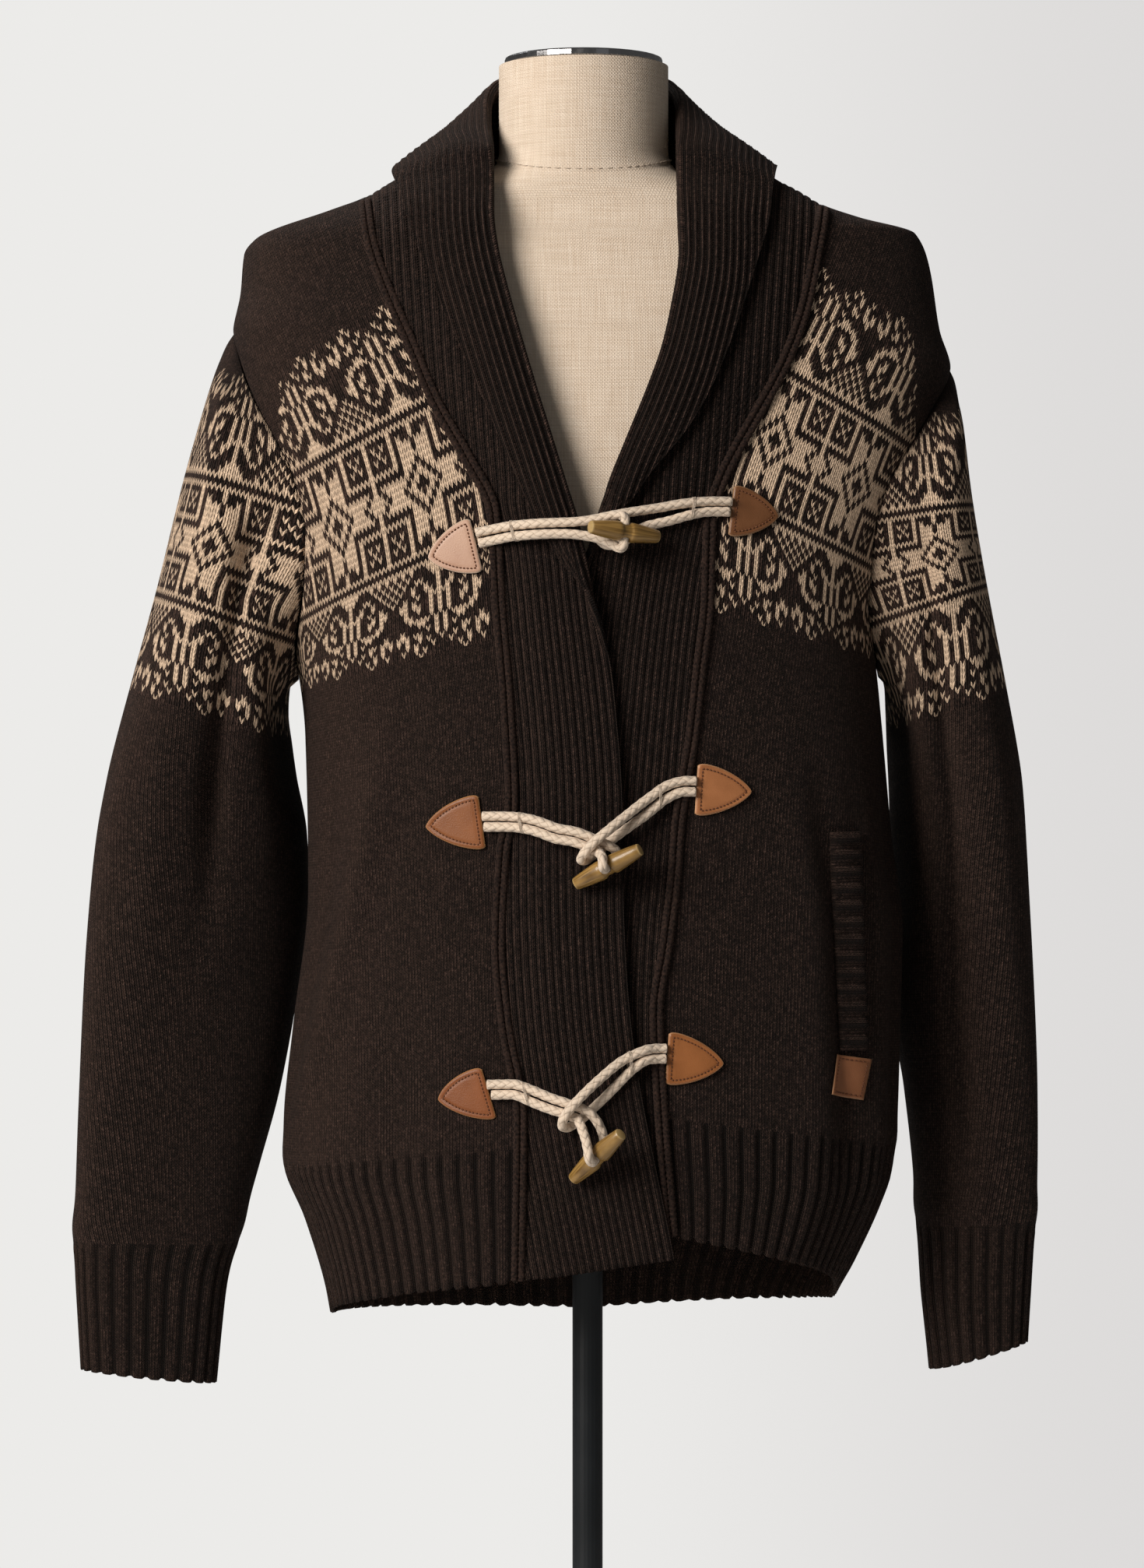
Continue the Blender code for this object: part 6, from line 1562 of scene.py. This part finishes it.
# half its width and its depth in front and behind, level by level; where the cloth is worn on it,
# its width follows the cloth's
FORM = table(Form,
    (0.66, 0.128, 0.082, 0.086, 0), (0.672, 0.146, 0.096, 0.096, 0), (0.7, 0.161, 0.108, 0.101, 0),
    (0.78, 0.162, 0.11, 0.1, 0), (0.86, 0.152, 0.104, 0.095, 0), (0.95, 0.152, 0.108, 0.096, 0),
    (1.05, 0.162, 0.115, 0.106, 0), (1.11, 0.172, 0.111, 0.11, 0), (1.16, 0.185, 0.102, 0.108, 0),
    (1.2, 0.196, 0.091, 0.101, 0), (1.232, 0.202, 0.08, 0.093, 0), (1.249, 0.2015, 0.071, 0.087, 0),
    (1.26, 0.196, 0.062, 0.081, 0), (1.2705, 0, 0.058, 0.077, 1), (1.275, 0, 0.0565, 0.075, 1),
    (1.2795, 0, 0.055, 0.073, 1), (1.2835, 0, 0.0545, 0.0705, 1), (1.292, 0.098, 0.055, 0.07, 0),
    (1.299, 0.07, 0.0538, 0.06, 0), (1.306, 0.0575, 0.0532, 0.055, 0),
    (1.316, 0.0533, 0.053, 0.053, 0), (1.371, 0.0533, 0.053, 0.053, 0))
FORM_REST = 0.0004       # between the cloth and the ridge of the form's shoulders it hangs from
NECK_SEAM = 1.310        # height of the seam round the base of the neck, which dips in front
SEAM_DIP = 0.012
CHEST_SEAM = 1.200       # height of the seam across the chest, in the cardigan's opening
SEAM_RIDGE, RIDGE_HALF = 0.0005, 0.004     # the ridge beside the neck's seam: its height and width
NECK_GROOVE, NECK_HALF = 0.0010, 0.0011    # the groove of that seam: how deep and wide
CHEST_GROOVE, CHEST_HALF = 0.0007, 0.0012  # and of the chest's
THREAD = 0.00105         # from one thread of the linen to the next
NECK_STITCHES = 64


def form_point(row, turns):
    """The form's outline at one of its rows, as wide there as the cloth that hangs on it."""
    level = FORM[row]
    near_neck = ease((level.height - 1.20) / 0.10)
    full = 1 + SQUARE * (1 - near_neck) * np.sin(2 * turns) ** 2
    depth = np.where(np.cos(turns) > 0, level.front, level.back)
    x = NECK_X * near_neck + level.half * np.sin(turns) * full
    z = np.full_like(turns, level.height)
    if level.worn:
        right, left = body(np.array((-1, 1)) * math.pi / 2, level.height, -WALL - FORM_REST)
        x = np.sin(turns) * np.where(turns > math.pi, -right[0], left[0])
        depth = depth * (1 - 0.5 * np.sin(turns) ** 12)
        z = right[2] + (left[2] - right[2]) * (1 + np.sin(turns)) / 2
    return np.stack((x, -depth * np.cos(turns) * full, z), axis=-1)


# plain-woven linen, slubbed and unbleached, its threads drawn coarser than real ones
linen, tree, shader = material("unbleached linen")
threads = add(tree, "UVMap", uv_map="threads")
place = add(tree, "TexCoord").outputs["Object"]
waver = add(tree, "TexNoise", {"Vector": threads, "Scale": 0.05, "Detail": 1.0})
drawn = add(tree, "VectorMath", (waver.outputs["Color"], (0.9, 0.9, 0.0), threads), "MULTIPLY_ADD")
apart = add(tree, "SeparateXYZ", (drawn,))
waves = []
for k in (0, 1):
    angle = add(tree, "Math", (apart.outputs[k], math.pi), "MULTIPLY")
    waves.append(add(tree, "Math", (angle,), "SINE"))
over = add(tree, "Math", waves, "MULTIPLY")
top = add(tree, "Math", (over, 0.0), "GREATER_THAN")
warp, weft = (add(tree, "Math", (wave,), "ABSOLUTE") for wave in waves)
weave = add(tree, "Mix", {0: top, 2: warp, 3: weft})
# slubs: threads that are thicker for a few centimetres of their length
slub_maps = []
for scale in ((0.9, 0.035, 1.0), (0.035, 0.9, 1.0)):
    long_way = add(tree, "VectorMath", (threads, scale), "MULTIPLY")
    slub_maps.append(add(tree, "TexNoise", {"Vector": long_way, "Scale": 1.0, "Detail": 3.0}))
slubs = add(tree, "Math", slub_maps, "ADD")
shades = add(tree, "MapRange", (slubs, 0.62, 1.38, 0.0, 1.0))
tone = add(tree, "Mix", {0: shades, 6: linear("#e2cdb6"), 7: linear("#fbebd8")}, data_type="RGBA")
# painted shade: darker down in the gaps between the threads
painted_gap_shade = add(tree, "MapRange", (weave, 0.0, 0.65, 0.7, 1.0))
shown = add(tree, "Mix", {0: 1.0, 6: tone, 7: painted_gap_shade}, data_type="RGBA", blend_type="MULTIPLY")
relief = add(tree, "Math", (slubs, 0.3, weave), "MULTIPLY_ADD")
bump = add(tree, "Bump", {"Height": relief, "Strength": 0.5, "Distance": 0.0006})
feed(shader, {"Base Color": shown, "Normal": bump, "Roughness": 0.9, "Specular IOR Level": 0.2})


def neck_seam(turns):
    """Height of the seam round the base of the neck."""
    return NECK_SEAM - SEAM_DIP * np.clip(np.cos(turns), 0, 1) ** 1.5


turns = np.linspace(0, math.tau, 124, endpoint=False)
rows = np.array([form_point(row, turns) for row in range(len(FORM))])
heights = np.array([level.height for level in FORM])
fine = np.unique(np.concatenate((np.linspace(0.660, 1.20, 60), np.linspace(1.20, 1.330, 90),
                                 np.linspace(1.330, 1.371, 12), heights)))
shell = np.empty((len(fine), len(turns), 3))
for column in range(len(turns)):
    for axis in range(3):
        shell[:, column, axis] = smooth(heights, rows[:, column, axis], fine)
# the seams are grooves: one round the base of the neck, with a low ridge beside it, and one
# across the chest
above, chest = shell[..., 2] - neck_seam(turns), shell[..., 2] - CHEST_SEAM
groove = SEAM_RIDGE * np.exp(-(above / RIDGE_HALF) ** 2)
groove = groove - NECK_GROOVE * np.exp(-(above / NECK_HALF) ** 2)
groove = groove - CHEST_GROOVE * np.exp(-(chest / CHEST_HALF) ** 2)
out = np.stack((np.sin(turns), -np.cos(turns), 0 * turns), axis=-1)[None]
hug = ease((shell[..., 2] - 1.19) / 0.005) * (1 - ease((shell[..., 2] - 1.366) / 0.004))
shell = shell + out * (groove * np.maximum(hug, np.exp(-(chest / 0.004) ** 2)))[..., None]
# threads are counted from the middle of the front, both ways
girth = run(np.concatenate((shell, shell[:, :1]), axis=1), 1)
grid = np.dstack(np.broadcast_arrays(girth, fine[:, None])) / THREAD
maps, whole = corners(grid), girth[:, -1] / THREAD
whole = np.stack((whole[:-1], whole[:-1], whole[1:], whole[1:]), axis=-1)
maps[:, len(turns) // 2:, :, 0] -= whole[:, None]
caps = np.concatenate((shell[0, ::-1, :2], shell[-1, :, :2])) / THREAD
form = solid("form_linen", shell.reshape(-1, 3), round_faces(len(fine), len(turns)),
             {"threads": np.concatenate((maps.reshape(-1, 2), caps))}, linen)
form.data.set_sharp_from_angle(angle=math.radians(60))
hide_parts("form_torso")

# hand stitches of linen thread along the neck seam
stitches = []
lift = np.array((-0.0003, 0.0003, 0.0005, 0.0003, -0.0003))
for k in range(NECK_STITCHES):
    a = (np.array((0.08, 0.3, 0.5, 0.7, 0.92)) + k) * math.tau / NECK_STITCHES
    z = neck_seam(a) + 0.0024
    half, front, back = (np.interp(z, heights, [getattr(level, name) for level in FORM])
                         for name in ("half", "front", "back"))
    x = NECK_X + (half + lift) * np.sin(a)
    y = -(np.where(np.cos(a) > 0, front, back) + lift) * np.cos(a)
    stitches.append(tube("stitch", np.stack((x, y, z), axis=-1), 0.0003, 6, cotton))
joined("form_neck_stitching", stitches)

# ---------------------------------------------------------------- the neck cap and the stand
# A turned steel cap closes the neck: a chromed rim round a black lacquered disc, both with fine
# turning marks. The form stands on a black steel tube in a flat round plate, powder-coated.
DISC_RADIUS = 0.0455     # of the black disc inside the rim

chrome, tree, shader = material("chromed rim and black disc")
place = add(tree, "TexCoord").outputs["Object"]
centred = add(tree, "VectorMath", (place, (-NECK_X, 0.0, 0.0)), "ADD")
level = add(tree, "VectorMath", (centred, (1.0, 1.0, 0.0)), "MULTIPLY")
radius = add(tree, "VectorMath", (level,), "LENGTH").outputs["Value"]
inner = add(tree, "Math", (radius, DISC_RADIUS), "LESS_THAN")
marks = add(tree, "TexNoise", {"Vector": place, "Scale": 260.0, "Detail": 4.0})
shown = add(tree, "Mix", {0: inner, 6: linear("#a9a9ab"), 7: linear("#131314")}, data_type="RGBA")
metal = add(tree, "Math", (1.0, inner), "SUBTRACT")
rough = add(tree, "MapRange", (marks, 0.3, 0.7, 0.14, 0.26))
rings = add(tree, "Math", (radius, 9000.0), "MULTIPLY")
turning = add(tree, "Math", (rings,), "SINE")
bump = add(tree, "Bump", {"Height": turning, "Strength": 0.05, "Distance": 0.0003})
feed(shader, {"Base Color": shown, "Metallic": metal, "Roughness": rough, "Normal": bump})

# black powder coat: a fine orange peel, in places a little paler and duller
paint, tree, shader = material("black powder coat")
place = add(tree, "TexCoord").outputs["Object"]
peel = add(tree, "TexNoise", {"Vector": place, "Scale": 1100.0, "Detail": 2.0})
cloud = add(tree, "TexNoise", {"Vector": place, "Scale": 14.0, "Detail": 5.0})
tone = add(tree, "Mix", {0: cloud, 6: linear("#0c0f12"), 7: linear("#1b2024")}, data_type="RGBA")
rough = add(tree, "MapRange", (cloud, 0.3, 0.7, 0.28, 0.42))
bump = add(tree, "Bump", {"Height": peel, "Strength": 0.12, "Distance": 0.0004})
feed(shader, {"Base Color": tone, "Roughness": rough, "Normal": bump})

for name, finish in (("neck_cap", chrome), ("pole", paint), ("base", paint)):
    for material_slot in bpy.data.objects[name].material_slots:
        material_slot.material = finish
